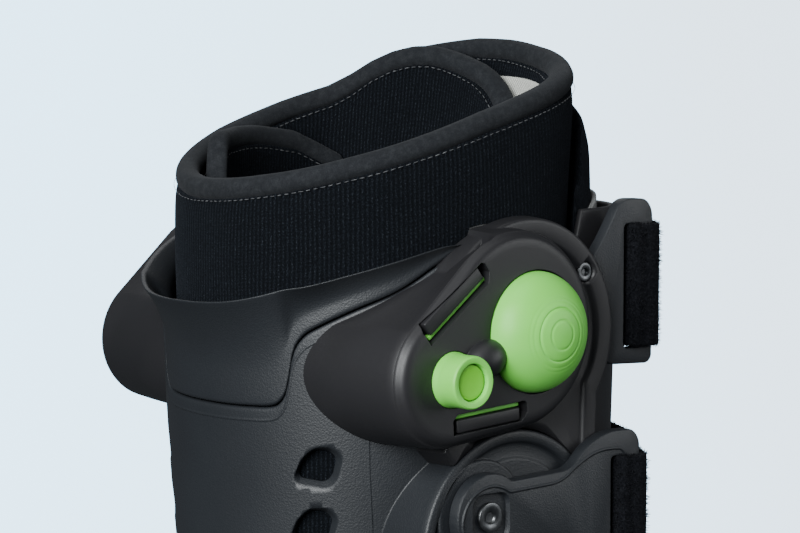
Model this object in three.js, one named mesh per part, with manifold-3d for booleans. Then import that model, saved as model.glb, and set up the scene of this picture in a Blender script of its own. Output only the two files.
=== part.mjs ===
import * as THREE from "three";
import { mergeVertices } from "three/addons/utils/BufferGeometryUtils.js";
import Module from "manifold-3d";

const wasm = await Module();
wasm.setup();

// Millimetres, +Z up, +X to the toe, -Y to the side that carries the pump.
// The origin is on the floor under the leg axis.

// Clearances and walls
const gap = 0.3;
const shellWall = 3.5;
const shellFloor = 4;
const linerWall = 9;
const linerClear = 0.6;
const footLinerWall = 6;

// Leg of the shell: half length behind the axis, half width, reach of the side walls, height
const calfRear = 80;
const calfHalf = 75;
const wallReach = 95;
const calfHeight = 345;
const rearPower = 2.15;
const wallPower = 4;

// Foot of the shell and the sole
const footHeel = 66;
const footToe = 204;
const footHalf = 57;
const soleHeight = 30;
const soleLedge = 6;
const treadThick = 7;
const toeSpring = 15;
const heelSpring = 8;
const flatFront = 70;
const flatRear = 45;
const grooveWidth = 5;
const grooveDepth = 3.5;
const groovePitch = 17;

// Slanted rim of the soft liner: its height over the axis and its slope towards the toe
const rimHeight = 389;
const rimSlope = 0.335;
const linerFront = 67;
const linerFoot = 150;
const bindingHeight = 9;
const bindingWidth = 9;
const padClear = 2.65;

// Layers in front of the shin, as reaches ahead of the leg axis
const padFront = 78;
const padTop = 392;
const panelFront = 85;
const panelTop = 353;
const panelWall = 3;
const liningWall = 1.6;
const panelToe = 172;

// Pump side: face of the pod, valve, bulb and flange
const podFace = 88;
const podRound = 3.5;
const podValveRadius = 22.5;
const podBulbX = -13;
const podBulbZ = 315;
const podBulbRadius = 33;
const valveX = -43.6;
const valveZ = 301;
const valveRadius = 8.8;
const valveLength = 10;
const valveBore = 6.3;
const buttonDepth = 2.5;
const buttonTravel = 2;
const bulbX = -6.6;
const bulbZ = 314.2;
const bulbRadius = 20.6;
const bulbDome = 14.5;
const bulbSink = 4;
const flangeX = -2;
const flangeZ = 312;
const flangeRadius = 40;
const flangeFace = 79.4;

// Lower round plate and the clip that it carries
const hubX = -9;
const hubZ = 240;
const hubRadius = 40;
const hubFace = 79.4;
const hubBoss = 19;
const hubRim = 4;
const hubRecess = 1.6;
const clipThick = 4.6;
const clipFace = 74.4;
const lowerClipFace = hubFace + gap + clipThick;
const strapWide = 43;
const strapThick = 2.8;
const upperSlotTop = 347;
const lowerSlotTop = 267;
const slotX = 48;
const slotWide = 8.5;
const barWide = 6;
const lowerClipBack = 14;
const strapFront = 97;
const rivetRadius = 5.2;
const rivetX = -23.4;
const rivetZ = 252.3;

// The far round plate is smaller and lies further ahead, and so does its rivet
const farHubX = 2;
const farHubRadius = 28;
const farRivetX = -6.4;

// Vents beside the heel cord, cut through both walls
const ventX = -65;
const ventZ = 268;
const ventLength = 11.5;
const ventHeight = 16;
const ventPitch = 21;
const ventCount = 3;

// Rows from the sole up: shares of calfHeight, calfRear, calfHalf and linerFront
const legRows = [
  { height: 0.08, rear: 0.85, half: 0.69, wrap: 0.95 },
  { height: 0.25, rear: 0.84, half: 0.70, wrap: 0.93 },
  { height: 0.40, rear: 0.86, half: 0.77, wrap: 0.90 },
  { height: 0.55, rear: 0.91, half: 0.86, wrap: 0.88 },
  { height: 0.70, rear: 0.965, half: 0.95, wrap: 0.87 },
  { height: 0.87, rear: 1.0, half: 1.0, wrap: 0.87 },
  { height: 1.0, rear: 1.0, half: 1.0, wrap: 0.87 },
  { height: 1.22, rear: 1.0, half: 0.98, wrap: 1.0 },
];

// Seam and lip of the collar from the heel cord forwards: shares of calfRear and calfHeight
const collarRows = [
  { along: 1.0, seam: 0.833, lip: 0.939, flare: 1.0 },
  { along: 0.975, seam: 0.834, lip: 0.942, flare: 0.97 },
  { along: 0.925, seam: 0.838, lip: 0.950, flare: 0.85 },
  { along: 0.90, seam: 0.862, lip: 0.954, flare: 0.80 },
  { along: 0.89, seam: 0.893, lip: 0.956, flare: 0.78 },
  { along: 0.85, seam: 0.912, lip: 0.959, flare: 0.70 },
  { along: 0.74, seam: 0.931, lip: 0.970, flare: 0.55 },
  { along: 0.575, seam: 0.952, lip: 0.984, flare: 0.38 },
  { along: 0.42, seam: 0.977, lip: 0.997, flare: 0.24 },
  { along: 0.30, seam: 0.991, lip: 1.005, flare: 0.15 },
];
const collarFlare = 8;

// Side outline of the shell's open front: shares of footToe and calfHeight
const shellFrontRows = [
  { along: 1.06, height: 0.165 },
  { along: 0.94, height: 0.165 },
  { along: 0.78, height: 0.172 },
  { along: 0.62, height: 0.195 },
  { along: 0.48, height: 0.235 },
  { along: 0.36, height: 0.30 },
  { along: 0.28, height: 0.39 },
  { along: 0.225, height: 0.50 },
  { along: 0.18, height: 0.64 },
  { along: 0.16, height: 0.78 },
  { along: 0.155, height: 0.93 },
  { along: 0.10, height: 0.988 },
];

const wallFront = 0.155 * footToe;
const footLoftTop = 0.27 * calfHeight;

// Plan of the foot: shares of footHeel or footToe, and of footHalf
const footRows = [
  { along: -0.88, half: 0.52 },
  { along: -0.50, half: 0.85 },
  { along: 0.0, half: 0.90 },
  { along: 0.30, half: 0.92 },
  { along: 0.55, half: 1.0 },
  { along: 0.75, half: 0.95 },
  { along: 0.91, half: 0.68 },
  { along: 0.985, half: 0.33 },
];

// Arch over the instep: shares of footToe, footHalf and calfHeight
const archRows = [
  { along: -0.10, half: 0.72, top: 0.50 },
  { along: 0.18, half: 0.74, top: 0.50 },
  { along: 0.30, half: 0.75, top: 0.455 },
  { along: 0.42, half: 0.77, top: 0.36 },
  { along: 0.58, half: 0.81, top: 0.275 },
  { along: 0.76, half: 0.80, top: 0.22 },
  { along: 0.90, half: 0.70, top: 0.195 },
];

// Inner end of the wrap, turned inside its outer end: degrees round the leg, how far in, height lost
const wrapRows = [
  { turn: 36, inward: 0.0, drop: 0.0 },
  { turn: -250, inward: 0.0, drop: 0.0 },
  { turn: -282, inward: 0.0, drop: -2 },
  { turn: -294, inward: 0.3, drop: -3 },
  { turn: -306, inward: 0.75, drop: -3.5 },
  { turn: -318, inward: 1.0, drop: -3.5 },
  { turn: -332, inward: 1.0, drop: -2 },
  { turn: -347, inward: 1.0, drop: 3 },
  { turn: -355, inward: 1.0, drop: 9 },
  { turn: -363, inward: 1.0, drop: 16 },
  { turn: -369, inward: 1.0, drop: 25 },
  { turn: -374, inward: 1.0, drop: 36 },
];
const wrapInward = 13.2;
const wrapStep = 11;

// Top of the soft pad on the inner wall at the back: degrees round the leg, height below the rim plane
const calfPadRows = [
  { turn: 146, drop: 8 },
  { turn: 138, drop: -5 },
  { turn: 124, drop: -1 },
  { turn: 108, drop: 5 },
  { turn: 94, drop: 13 },
  { turn: 82, drop: 24 },
  { turn: 74, drop: 36 },
];
const calfPadWall = 6;
const calfPadFoot = 300;

function rowAt(rows, key, value) {
  const rising = rows[rows.length - 1][key] > rows[0][key];
  const order = rising ? rows : [...rows].reverse();
  let index = order.findIndex((row) => row[key] >= value);
  if (index < 0) {
    return { ...order[order.length - 1] };
  }
  if (index === 0) {
    return { ...order[0] };
  }
  const low = order[index - 1];
  const high = order[index];
  const share = (value - low[key]) / (high[key] - low[key]);
  const result = {};
  for (const name of Object.keys(low)) {
    result[name] = low[name] + share * (high[name] - low[name]);
  }
  return result;
}

function range(first, last, count) {
  return Array.from({ length: count + 1 }, (_, i) => first + ((last - first) * i) / count);
}

// Closed body through rings of equal count, capped at both ends in the plane of two axes
function loft(given, axes = ["x", "y"], capOf = earCap) {
  const flatten = (ring) => ring.map((p) => new THREE.Vector2(p[axes[0]], p[axes[1]]));
  const clockwise = THREE.ShapeUtils.isClockWise(flatten(given[0]));
  const rings = clockwise ? given.map((ring) => [...ring].reverse()) : given;
  const faces = sideFaces(rings.length, rings[0].length);
  const last = (rings.length - 1) * rings[0].length;
  for (const [a, b, c] of capOf(flatten(rings[0]))) {
    faces.push(a, c, b);
  }
  for (const [a, b, c] of capOf(flatten(rings[rings.length - 1]))) {
    faces.push(a + last, b + last, c + last);
  }
  return bodyOf(rings.flat(), faces);
}

function earCap(outline) {
  return THREE.ShapeUtils.triangulateShape(outline, []);
}

// Cap of a long thin wall: its second half runs back beside its first half
function stripCap(outline) {
  const count = outline.length;
  return range(0, count / 2 - 2, count / 2 - 2).flatMap((i) => [
    [i, i + 1, count - 2 - i], [i, count - 2 - i, count - 1 - i]]);
}

// Two triangles for each side of each level
function sideFaces(levels, count) {
  const faces = [];
  for (let level = 0; level < levels - 1; level++) {
    for (let i = 0; i < count; i++) {
      const a = level * count + i;
      const b = level * count + ((i + 1) % count);
      faces.push(a, b, b + count, a, b + count, a + count);
    }
  }
  return faces;
}

function bodyOf(points, faces) {
  const position = new Float32Array(points.flatMap((p) => [p.x, p.y, p.z]));
  if (signedVolume(position, faces) < 0) {
    faces = faces.map((_, i) => faces[i % 3 === 0 ? i : i % 3 === 1 ? i + 1 : i - 1]);
  }
  const geometry = new THREE.BufferGeometry();
  geometry.setAttribute("position", new THREE.BufferAttribute(position, 3));
  geometry.setIndex(faces);
  return geometry;
}

function signedVolume(position, faces) {
  const a = new THREE.Vector3();
  const b = new THREE.Vector3();
  const c = new THREE.Vector3();
  let sum = 0;
  for (let i = 0; i < faces.length; i += 3) {
    a.fromArray(position, faces[i] * 3);
    b.fromArray(position, faces[i + 1] * 3);
    c.fromArray(position, faces[i + 2] * 3);
    sum += a.dot(b.cross(c));
  }
  return sum;
}

function solid(geometry) {
  const bare = geometry.clone();
  bare.deleteAttribute("normal");
  bare.deleteAttribute("uv");
  const merged = mergeVertices(bare, 1e-4);
  const mesh = new wasm.Mesh({
    numProp: 3,
    vertProperties: new Float32Array(merged.attributes.position.array),
    triVerts: new Uint32Array(merged.index.array),
  });
  return new wasm.Manifold(mesh);
}

function geometryOf(body) {
  const mesh = body.getMesh();
  const geometry = new THREE.BufferGeometry();
  geometry.setAttribute("position", new THREE.BufferAttribute(new Float32Array(mesh.vertProperties), 3));
  geometry.setIndex(Array.from(mesh.triVerts));
  return geometry;
}

// Outline in the side view, as [x, z] pairs, carried from one y to another
function sidePrism(outline, from, to, holes = []) {
  const shape = new THREE.Shape(outline.map(([x, z]) => new THREE.Vector2(x, z)));
  for (const hole of holes) {
    shape.holes.push(new THREE.Path(hole.map(([x, z]) => new THREE.Vector2(x, z))));
  }
  const geometry = new THREE.ExtrudeGeometry(shape, { depth: to - from, bevelEnabled: false });
  geometry.rotateX(Math.PI / 2);
  geometry.translate(0, to, 0);
  return geometry;
}

function arc(x, z, radius, from, to, count) {
  return range(from, to, count).map((degrees) => {
    const turn = THREE.MathUtils.degToRad(degrees);
    return [x + radius * Math.cos(turn), z + radius * Math.sin(turn)];
  });
}

// Outline round two circles and their outer tangents
function pill(x1, z1, r1, x2, z2, r2, count) {
  const span = Math.hypot(x2 - x1, z2 - z1);
  const lean = THREE.MathUtils.radToDeg(Math.atan2(z2 - z1, x2 - x1));
  const spread = THREE.MathUtils.radToDeg(Math.acos((r1 - r2) / span));
  return [
    ...arc(x2, z2, r2, lean - spread, lean + spread, count),
    ...arc(x1, z1, r1, lean + spread, lean + 360 - spread, count),
  ];
}

// Turned piece whose axis runs along y, from pairs of radius and y
function turnedAlongY(pairs, x, z, segments) {
  const profile = pairs.map(([radius, y]) => new THREE.Vector2(radius, y));
  const geometry = new THREE.LatheGeometry(profile, segments);
  geometry.translate(x, 0, z);
  return geometry;
}

function power(value, exponent) {
  return Math.sign(value) * Math.abs(value) ** exponent;
}

// Point of a plan outline, 180 degrees behind the leg and -90 on the pump side
function planPoint(degrees, size, z) {
  const turn = THREE.MathUtils.degToRad(degrees);
  const ahead = Math.cos(turn) > 0;
  const exponent = 2 / (ahead ? size.frontPower : rearPower);
  const reach = ahead ? size.front : size.rear;
  return new THREE.Vector3(reach * power(Math.cos(turn), exponent),
    size.half * power(Math.sin(turn), exponent), z);
}

function legSize(z, grow = 0) {
  const row = rowAt(legRows, "height", z / calfHeight);
  return {
    rear: calfRear * row.rear + grow,
    half: calfHalf * row.half + grow,
    front: wallReach + grow,
    frontPower: wallPower,
  };
}

// Outer face of the soft wrap, moved inwards where inset is positive
function linerSize(z, inset = 0) {
  const row = rowAt(legRows, "height", z / calfHeight);
  const clear = shellWall + linerClear + inset;
  return {
    rear: calfRear * row.rear - clear,
    half: calfHalf * row.half - clear,
    front: linerFront * row.wrap - inset,
    frontPower: rearPower,
  };
}

function columnLoft(size, levels, count = 36) {
  const turns = range(-180, 180, count).slice(0, count);
  return loft(levels.map((z) => turns.map((degrees) => planPoint(degrees, size(z), z))));
}

// Wall between two faces, over a list of turns; each level is a share of the height there
function bandLoft({ turns, outer, inner, bottom, top, levels }) {
  const rings = levels.map((share) => {
    const at = (face) => (degrees) => {
      const low = bottom(degrees);
      const z = low + share * (top(degrees) - low);
      return planPoint(degrees, face(z, degrees, share), z);
    };
    return [...turns.map(at(outer)), ...[...turns].reverse().map(at(inner))];
  });
  return loft(rings, ["x", "y"], stripCap);
}

const legLevels = legRows.map((row) => row.height * calfHeight);

function footOutline(grow) {
  const side = footRows.map((row) => {
    const x = row.along < 0 ? row.along * footHeel : row.along * footToe;
    return [x * (1 + grow / footToe), row.half * footHalf + grow];
  });
  const near = side.map(([x, y]) => new THREE.Vector3(x, -y, 0));
  const far = [...side].reverse().map(([x, y]) => new THREE.Vector3(x, y, 0));
  const toe = new THREE.Vector3(footToe + grow, 0, 0);
  const heel = new THREE.Vector3(-footHeel - grow, 0, 0);
  const curve = new THREE.CatmullRomCurve3([heel, ...near, toe, ...far], true);
  const count = 44;
  return curve.getPoints(count).slice(0, count);
}

function footLoft(grow, low, high) {
  return loft([low, high].map((z) => footOutline(grow).map((p) => new THREE.Vector3(p.x, p.y, z))));
}

// Arched form over the instep, grown on all sides but its floor
function archLoft(grow, low) {
  const rings = archRows.map((row) => {
    const half = row.half * footHalf + grow;
    const rise = row.top * calfHeight + grow - low;
    const x = row.along * footToe;
    return range(0, 180, 10).map((degrees) => {
      const turn = THREE.MathUtils.degToRad(degrees);
      const y = half * power(Math.cos(turn), 0.75);
      return new THREE.Vector3(x, y, low + rise * Math.max(0, Math.sin(turn)) ** 0.8);
    });
  });
  return loft(rings, ["y", "z"]);
}

// Side region of the shell: heel, sole line, open front and seam, pushed out by a clearance
function shellRegion(push) {
  const front = shellFrontRows.map((row) => [row.along * footToe + push, row.height * calfHeight + push]);
  const seam = [...collarRows].reverse().map((row) => [-row.along * calfRear - push,
    row.seam * calfHeight + push]);
  const back = -calfRear * 1.3;
  const base = soleHeight + gap - push;
  const seamEnd = seam[seam.length - 1][1];
  return [[back, base], [footToe * 1.2, base], [footToe * 1.2, front[0][1]], ...front, ...seam,
    [back, seamEnd]];
}

// Side region above the seam, where the collar stands
function collarRegion(push) {
  const seam = collarRows.map((row) => [-row.along * calfRear - push, row.seam * calfHeight + push]);
  const back = -calfRear * 1.3;
  const end = seam[seam.length - 1];
  return [[back, seam[0][1]], ...seam, [end[0] + 4, end[1] + 2], [end[0] + 4, calfHeight * 1.2],
    [back, calfHeight * 1.2]];
}

function shellSkin(grow) {
  const leg = solid(columnLoft((z) => legSize(z, grow), legLevels));
  return leg.add(solid(footLoft(grow, soleHeight + gap, footLoftTop)));
}

// Wall of the shell with a clearance on every side, so that it also serves as a cutter
function shellBody(clear) {
  const hollow = solid(columnLoft((z) => legSize(z, -shellWall - clear), legLevels))
    .subtract(solid(footLoft(footHalf, 0, soleHeight + gap + shellFloor)))
    .add(solid(footLoft(-shellWall - clear, soleHeight + gap + shellFloor + clear, calfHeight * 0.3)));
  const side = solid(sidePrism(shellRegion(clear), -calfHalf * 1.4, calfHalf * 1.4));
  return shellSkin(clear).subtract(hollow).intersect(side);
}

function mirrored(body) {
  return body.mirror([0, 1, 0]);
}

// Slanted vent with cut corners, carried through the wall on one side
function ventCutter(z, side) {
  const corners = [[-0.5, -0.25], [-0.38, 0.25], [-0.1, 0.5], [0.28, 0.5], [0.5, 0.3], [0.4, -0.25],
    [0.2, -0.5], [-0.42, -0.4]];
  const outline = corners.map(([u, v]) => [ventX + u * ventLength, z + v * ventHeight]);
  const low = side < 0 ? -calfHalf : calfHalf * 0.3;
  return solid(sidePrism(outline, low, low + calfHalf * 0.7));
}

function hubOf(side) {
  return side < 0 ? { x: hubX, radius: hubRadius, rivet: rivetX }
    : { x: farHubX, radius: farHubRadius, rivet: farRivetX };
}

function hubPlate(side) {
  const { x, radius, rivet } = hubOf(side);
  const outer = sidePrism(arc(x, hubZ, radius, 0, 345, 23), -hubFace, -calfHalf * 0.5);
  const pocket = sidePrism(arc(x, hubZ, radius - hubRim, 0, 345, 23), -hubFace - 1,
    -hubFace + hubRecess);
  const boss = sidePrism(arc(rivet, rivetZ, hubBoss, 0, 340, 17), -hubFace - 2, -hubFace + 2);
  const plate = solid(outer).subtract(solid(pocket).subtract(solid(boss)));
  const outside = solid(columnLoft((z) => legSize(z, -shellWall / 2), legLevels));
  const trimmed = plate.subtract(outside);
  const back = -calfRear * 1.3;
  const block = sidePrism([[back, footLoftTop], [wallFront, footLoftTop], [wallFront, calfHeight],
    [back, calfHeight]], -calfHalf * 1.4, calfHalf * 1.4);
  const kept = trimmed.intersect(solid(block));
  return side < 0 ? kept : mirrored(kept);
}

function makeShell() {
  let body = shellBody(0);
  for (const side of [-1, 1]) {
    body = body.add(hubPlate(side));
    for (let i = 0; i < ventCount; i++) {
      body = body.subtract(ventCutter(ventZ - i * ventPitch, side));
    }
    body = body.subtract(rivetHole(side));
  }
  return geometryOf(body);
}

function rivetHole(side) {
  const hole = solid(turnedAlongY([[0, -hubFace - 1], [rivetRadius * 0.5 + gap, -hubFace - 1],
    [rivetRadius * 0.5 + gap, -calfHalf * 0.7], [0, -calfHalf * 0.7]], hubOf(side).rivet, rivetZ, 12));
  return side < 0 ? hole : mirrored(hole);
}

// Upper rear panel of the calf with its flared lip
function makeCollar() {
  const half = collarRows.map((row) => {
    const cosine = row.along ** (rearPower / 2);
    return 180 - THREE.MathUtils.radToDeg(Math.acos(Math.min(1, cosine)));
  });
  const side = [...half].reverse();
  const turns = [...side, ...half.slice(1).map((turn) => 360 - turn)];
  const rowOf = (degrees) => {
    const along = -planPoint(degrees, legSize(calfHeight), 0).x / calfRear;
    return rowAt(collarRows, "along", along);
  };
  const flareAt = (share) => Math.max(0, (share - 0.35) / 0.65) ** 1.8;
  const band = bandLoft({
    turns,
    outer: (z, degrees, share) => {
      const rounding = share > 0.99 ? 1.4 : 0;
      return legSize(z, collarFlare * rowOf(degrees).flare * flareAt(share) - rounding);
    },
    inner: (z, degrees, share) => {
      const rounding = share > 0.99 ? 0.8 : 0;
      return legSize(z, collarFlare * rowOf(degrees).flare * flareAt(share) - shellWall + rounding);
    },
    bottom: (degrees) => rowOf(degrees).seam * calfHeight - calfHeight * 0.06,
    top: (degrees) => rowOf(degrees).lip * calfHeight,
    levels: [0, 0.35, 0.6, 0.8, 0.95, 1],
  });
  const below = sidePrism(shellRegion(2 * gap), -calfHalf * 1.4, calfHalf * 1.4);
  return geometryOf(solid(band).subtract(solid(below)));
}

function rimPlane(degrees) {
  const x = planPoint(degrees, linerSize(calfHeight * 1.1), 0).x;
  return rimHeight + rimSlope * x;
}

function wrapInset(degrees) {
  return wrapInward * rowAt(wrapRows, "turn", degrees).inward;
}

function wrapTop(degrees) {
  return rimPlane(degrees) - rowAt(wrapRows, "turn", degrees).drop;
}

function wrapTurns() {
  const first = wrapRows[0].turn;
  const last = wrapRows[wrapRows.length - 1].turn;
  const even = range(first, wrapRows[1].turn, Math.round((first - wrapRows[1].turn) / wrapStep));
  return [...even, ...wrapRows.slice(2, -1).flatMap((row, i) => [
    (row.turn + wrapRows[i + 1].turn) / 2, row.turn]), last];
}

// Soft wall round the leg: one strip whose inner end laps inside its outer end
function makeWrap() {
  return bandLoft({
    turns: wrapTurns(),
    outer: (z, degrees) => linerSize(z, wrapInset(degrees)),
    inner: (z, degrees) => linerSize(z, wrapInset(degrees) + linerWall),
    bottom: () => linerFoot + gap,
    top: (degrees) => wrapTop(degrees) - bindingHeight - 2 * gap
      - 0.14 * rowAt(wrapRows, "turn", degrees).drop,
    levels: [0, 0.4, 0.8, 1],
  });
}

// Rolled binding on the top edge of the wrap
function makeRim() {
  const size = (degrees, inset) => linerSize(wrapTop(degrees) - bindingHeight, wrapInset(degrees) + inset);
  const face = (degrees, inset) => planPoint(degrees, size(degrees, inset), 0);
  return bindingLoft(wrapTurns(), face, linerWall, wrapTop, bindingWidth);
}

// Rounded strip on top of a wall, whose faces are given by the turn and the depth from its outer face
function bindingLoft(turns, face, wall, top, width) {
  const section = [
    { across: -0.4, down: 1 }, { across: 0.4, down: 1 }, { across: 0.5, down: 0.6 },
    { across: 0.28, down: 0.04 }, { across: -0.28, down: 0.04 }, { across: -0.5, down: 0.6 },
  ];
  const rings = turns.map((degrees) => {
    const outer = face(degrees, 0);
    const inner = face(degrees, wall);
    const across = outer.clone().sub(inner).normalize();
    const middle = outer.clone().add(inner).multiplyScalar(0.5);
    return section.map((corner) => middle.clone().addScaledVector(across, corner.across * width)
      .setZ(top(degrees) - corner.down * bindingHeight));
  });
  return ringsWithEnds(rings);
}

// Loft whose ends are convex rings in any plane
function ringsWithEnds(rings) {
  const count = rings[0].length;
  const faces = sideFaces(rings.length, count);
  const last = (rings.length - 1) * count;
  for (let i = 1; i < count - 1; i++) {
    faces.push(0, i + 1, i);
    faces.push(last, last + i, last + i + 1);
  }
  return bodyOf(rings.flat(), faces);
}

// Pale knit on the inner face of the wrap where it passes the shin
function makeFrontLining() {
  return bandLoft({
    turns: range(28, -34, 9),
    outer: (z) => linerSize(z, linerWall + 3 * gap),
    inner: (z) => linerSize(z, linerWall + 3 * gap + liningWall),
    bottom: () => calfPadFoot,
    top: (degrees) => rimPlane(degrees) - bindingHeight - 11 * gap,
    levels: [0, 0.5, 1],
  });
}

function calfPadTurns() {
  return calfPadRows.map((row) => row.turn);
}

function calfPadInset() {
  return Math.max(linerWall, bindingWidth) + padClear;
}

function calfPadTop(degrees) {
  return rimPlane(degrees) - rowAt(calfPadRows, "turn", degrees).drop;
}

// Padded flap that lines the back of the calf inside the wrap
function makeCalfPad() {
  return bandLoft({
    turns: calfPadTurns(),
    outer: (z) => linerSize(z, calfPadInset()),
    inner: (z) => linerSize(z, calfPadInset() + calfPadWall),
    bottom: () => calfPadFoot,
    top: (degrees) => calfPadTop(degrees) - bindingHeight - 2 * gap,
    levels: [0, 0.5, 1],
  });
}

function makeCalfPadBinding() {
  const size = (degrees, inset) => linerSize(calfPadTop(degrees) - bindingHeight, calfPadInset() + inset);
  const face = (degrees, inset) => planPoint(degrees, size(degrees, inset), 0);
  return bindingLoft(calfPadTurns(), face, calfPadWall, calfPadTop, calfPadWall + 1.4);
}

function padSize(front, inset) {
  return (z) => ({
    rear: calfRear,
    half: legSize(z).half - shellWall - linerClear - inset,
    front,
    frontPower: rearPower,
  });
}

// Soft shin pad between the wrap and the hard front panel
function makeShinPad() {
  const wrapClear = (z) => linerSize(z, -3 * gap);
  const face = (z, degrees, share) => {
    const size = padSize(padFront, panelWall + liningWall + 4 * gap)(z);
    const round = share > 0.99 ? 0.25 : share > 0.9 ? 0.9 : 1;
    const under = wrapClear(z);
    return { ...size, front: under.front + (size.front - under.front) * round,
      half: under.half + (size.half - under.half) * round };
  };
  return bandLoft({
    turns: range(-58, 58, 16),
    outer: face,
    inner: wrapClear,
    bottom: () => calfHeight * 0.52,
    top: (degrees) => padTop - 22 * (degrees / 58) ** 4,
    levels: [0, 0.3, 0.6, 0.8, 0.93, 1],
  });
}

function coverForm(grow) {
  const size = (z) => padSize(panelFront + grow, -grow)(z);
  const levels = [0.362, 0.58, 0.696, 0.87, 1.1].map((share) => share * calfHeight);
  const column = solid(columnLoft(size, levels));
  return column.add(solid(archLoft(grow + footLinerWall * 0.5, soleHeight + 8)));
}

// Border of the front panel from the instep up the shin: shares of footToe and calfHeight
const panelBorder = [
  { along: 0.49, height: 0.226 }, { along: 0.3235, height: 0.307 }, { along: 0.2255, height: 0.435 },
  { along: 0.167, height: 0.58 }, { along: 0.147, height: 0.696 },
];

// Side region of the front panel: over the shin, down the instep and ahead to the toes
function coverRegion() {
  const low = soleHeight + calfHeight * 0.08;
  const ahead = panelFront * 1.3;
  return [[footToe * 0.147, panelTop - 30], [footToe * 0.196, panelTop], [ahead, panelTop],
    [ahead, calfHeight * 0.464], [panelToe, calfHeight * 0.348], [panelToe, low], [panelToe - 32, low],
    ...panelBorder.map((row) => [row.along * footToe, row.height * calfHeight])];
}

function makeFrontPanel() {
  const skin = coverForm(0).subtract(coverForm(-panelWall));
  const side = solid(sidePrism(coverRegion(), -calfHalf, calfHalf));
  return geometryOf(skin.intersect(side).subtract(shellBody(gap)));
}

// Pale knit backing of the front panel, proud of its top edge
function makePanelLining() {
  return bandLoft({
    turns: range(-62, 62, 14),
    outer: (z) => padSize(panelFront - panelWall - 2 * gap, panelWall + 2 * gap)(z),
    inner: (z) => padSize(panelFront - panelWall - 2 * gap - liningWall,
      panelWall + 2 * gap + liningWall)(z),
    bottom: () => calfHeight * 0.55,
    top: (degrees) => panelTop + 4 - 12 * (degrees / 62) ** 4,
    levels: [0, 0.33, 0.66, 1],
  });
}

// Padded bootee, open at the top and at the toes
function makeFootLiner() {
  const low = soleHeight + gap + shellFloor + linerClear;
  const levels = [low, 86, 120, linerFoot];
  const outer = solid(columnLoft((z) => linerSize(z), levels, 28))
    .add(solid(archLoft(0, low)));
  const innerLevels = [low + footLinerWall, 86, 120, 190];
  const inner = solid(columnLoft((z) => linerSize(z, footLinerWall), innerLevels, 28))
    .add(solid(archLoft(-footLinerWall, low + footLinerWall)));
  const toeCut = solid(sidePrism([[footToe * 0.84, low + footLinerWall], [footToe, low + footLinerWall],
    [footToe, 100], [footToe * 0.80, 100]], -calfHalf, calfHalf));
  const topCut = solid(sidePrism([[-100, linerFoot], [200, linerFoot], [200, 260], [-100, 260]],
    -calfHalf, calfHalf));
  const foot = solid(footLoft(-shellWall - linerClear, low, 200));
  return geometryOf(outer.subtract(inner).subtract(toeCut).subtract(topCut).intersect(foot));
}

function rocker(x) {
  if (x > flatFront) {
    return toeSpring * ((x - flatFront) / (footToe - flatFront)) ** 2;
  }
  if (x < -flatRear) {
    return heelSpring * ((x + flatRear) / (footHeel - flatRear)) ** 2;
  }
  return 0;
}

function rockerLine(lift) {
  const back = -footHeel - soleLedge * 2;
  const ahead = footToe + soleLedge * 2;
  const stops = [...range(back, -flatRear, 4), ...range(flatFront, ahead, 8)];
  return stops.map((x) => [x, rocker(x) + lift]);
}

function makeMidsole() {
  const low = rockerLine(treadThick + gap);
  const region = [...low, [low[low.length - 1][0], soleHeight], [low[0][0], soleHeight]];
  const block = solid(loft([
    { z: -1, grow: soleLedge - 2 }, { z: soleHeight - 12, grow: soleLedge },
    { z: soleHeight - 2, grow: soleLedge }, { z: soleHeight, grow: soleLedge - 2 },
  ].map((row) => footOutline(row.grow).map((p) => new THREE.Vector3(p.x, p.y, row.z)))));
  return geometryOf(block.intersect(solid(sidePrism(region, -calfHalf * 1.2, calfHalf * 1.2))));
}

function makeTread() {
  const low = rockerLine(0);
  const high = rockerLine(treadThick).reverse();
  const block = solid(footLoft(soleLedge - 1.5, -1, soleHeight));
  let body = block.intersect(solid(sidePrism([...low, ...high], -calfHalf * 1.2, calfHalf * 1.2)));
  for (let x = -footHeel + groovePitch / 2; x < footToe - groovePitch / 2; x += groovePitch) {
    const base = rocker(x);
    const groove = sidePrism([[x, base - 3], [x + grooveWidth, base - 3],
      [x + grooveWidth, base + grooveDepth], [x, base + grooveDepth]], -calfHalf, calfHalf);
    body = body.subtract(solid(groove));
  }
  return geometryOf(body);
}

// Pod outline at a depth from the face: it widens towards the shell
function podOutline(grow, drop = 0) {
  return pill(valveX - drop * 0.12, valveZ, podValveRadius + grow, podBulbX, podBulbZ,
    podBulbRadius + grow, 8);
}

function podLoft() {
  const levels = [
    { y: -calfHalf * 0.3, grow: 3.2, drop: 12 }, { y: -calfHalf * 0.93, grow: 1.8, drop: 5 },
    { y: -podFace + podRound * 1.6, grow: 1, drop: 4 },
    { y: -podFace + podRound * 0.5, grow: -0.4, drop: 0 }, { y: -podFace, grow: -podRound * 0.6, drop: 0 },
  ];
  return loft(levels.map((row) => podOutline(row.grow, row.drop)
    .map(([x, z]) => new THREE.Vector3(x, row.y, z))), ["x", "z"]);
}

function flangeSolid() {
  const disc = arc(flangeX, flangeZ, flangeRadius, -35, 215, 30);
  const corners = [[-0.95, -0.925], [-0.7, -1.15], [0.8, -1.15]].map(([u, v]) => [
    flangeX + u * flangeRadius, flangeZ + v * flangeRadius]);
  const outline = [...disc, ...corners];
  return solid(sidePrism(outline, -flangeFace, -calfHalf * 0.5));
}

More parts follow.
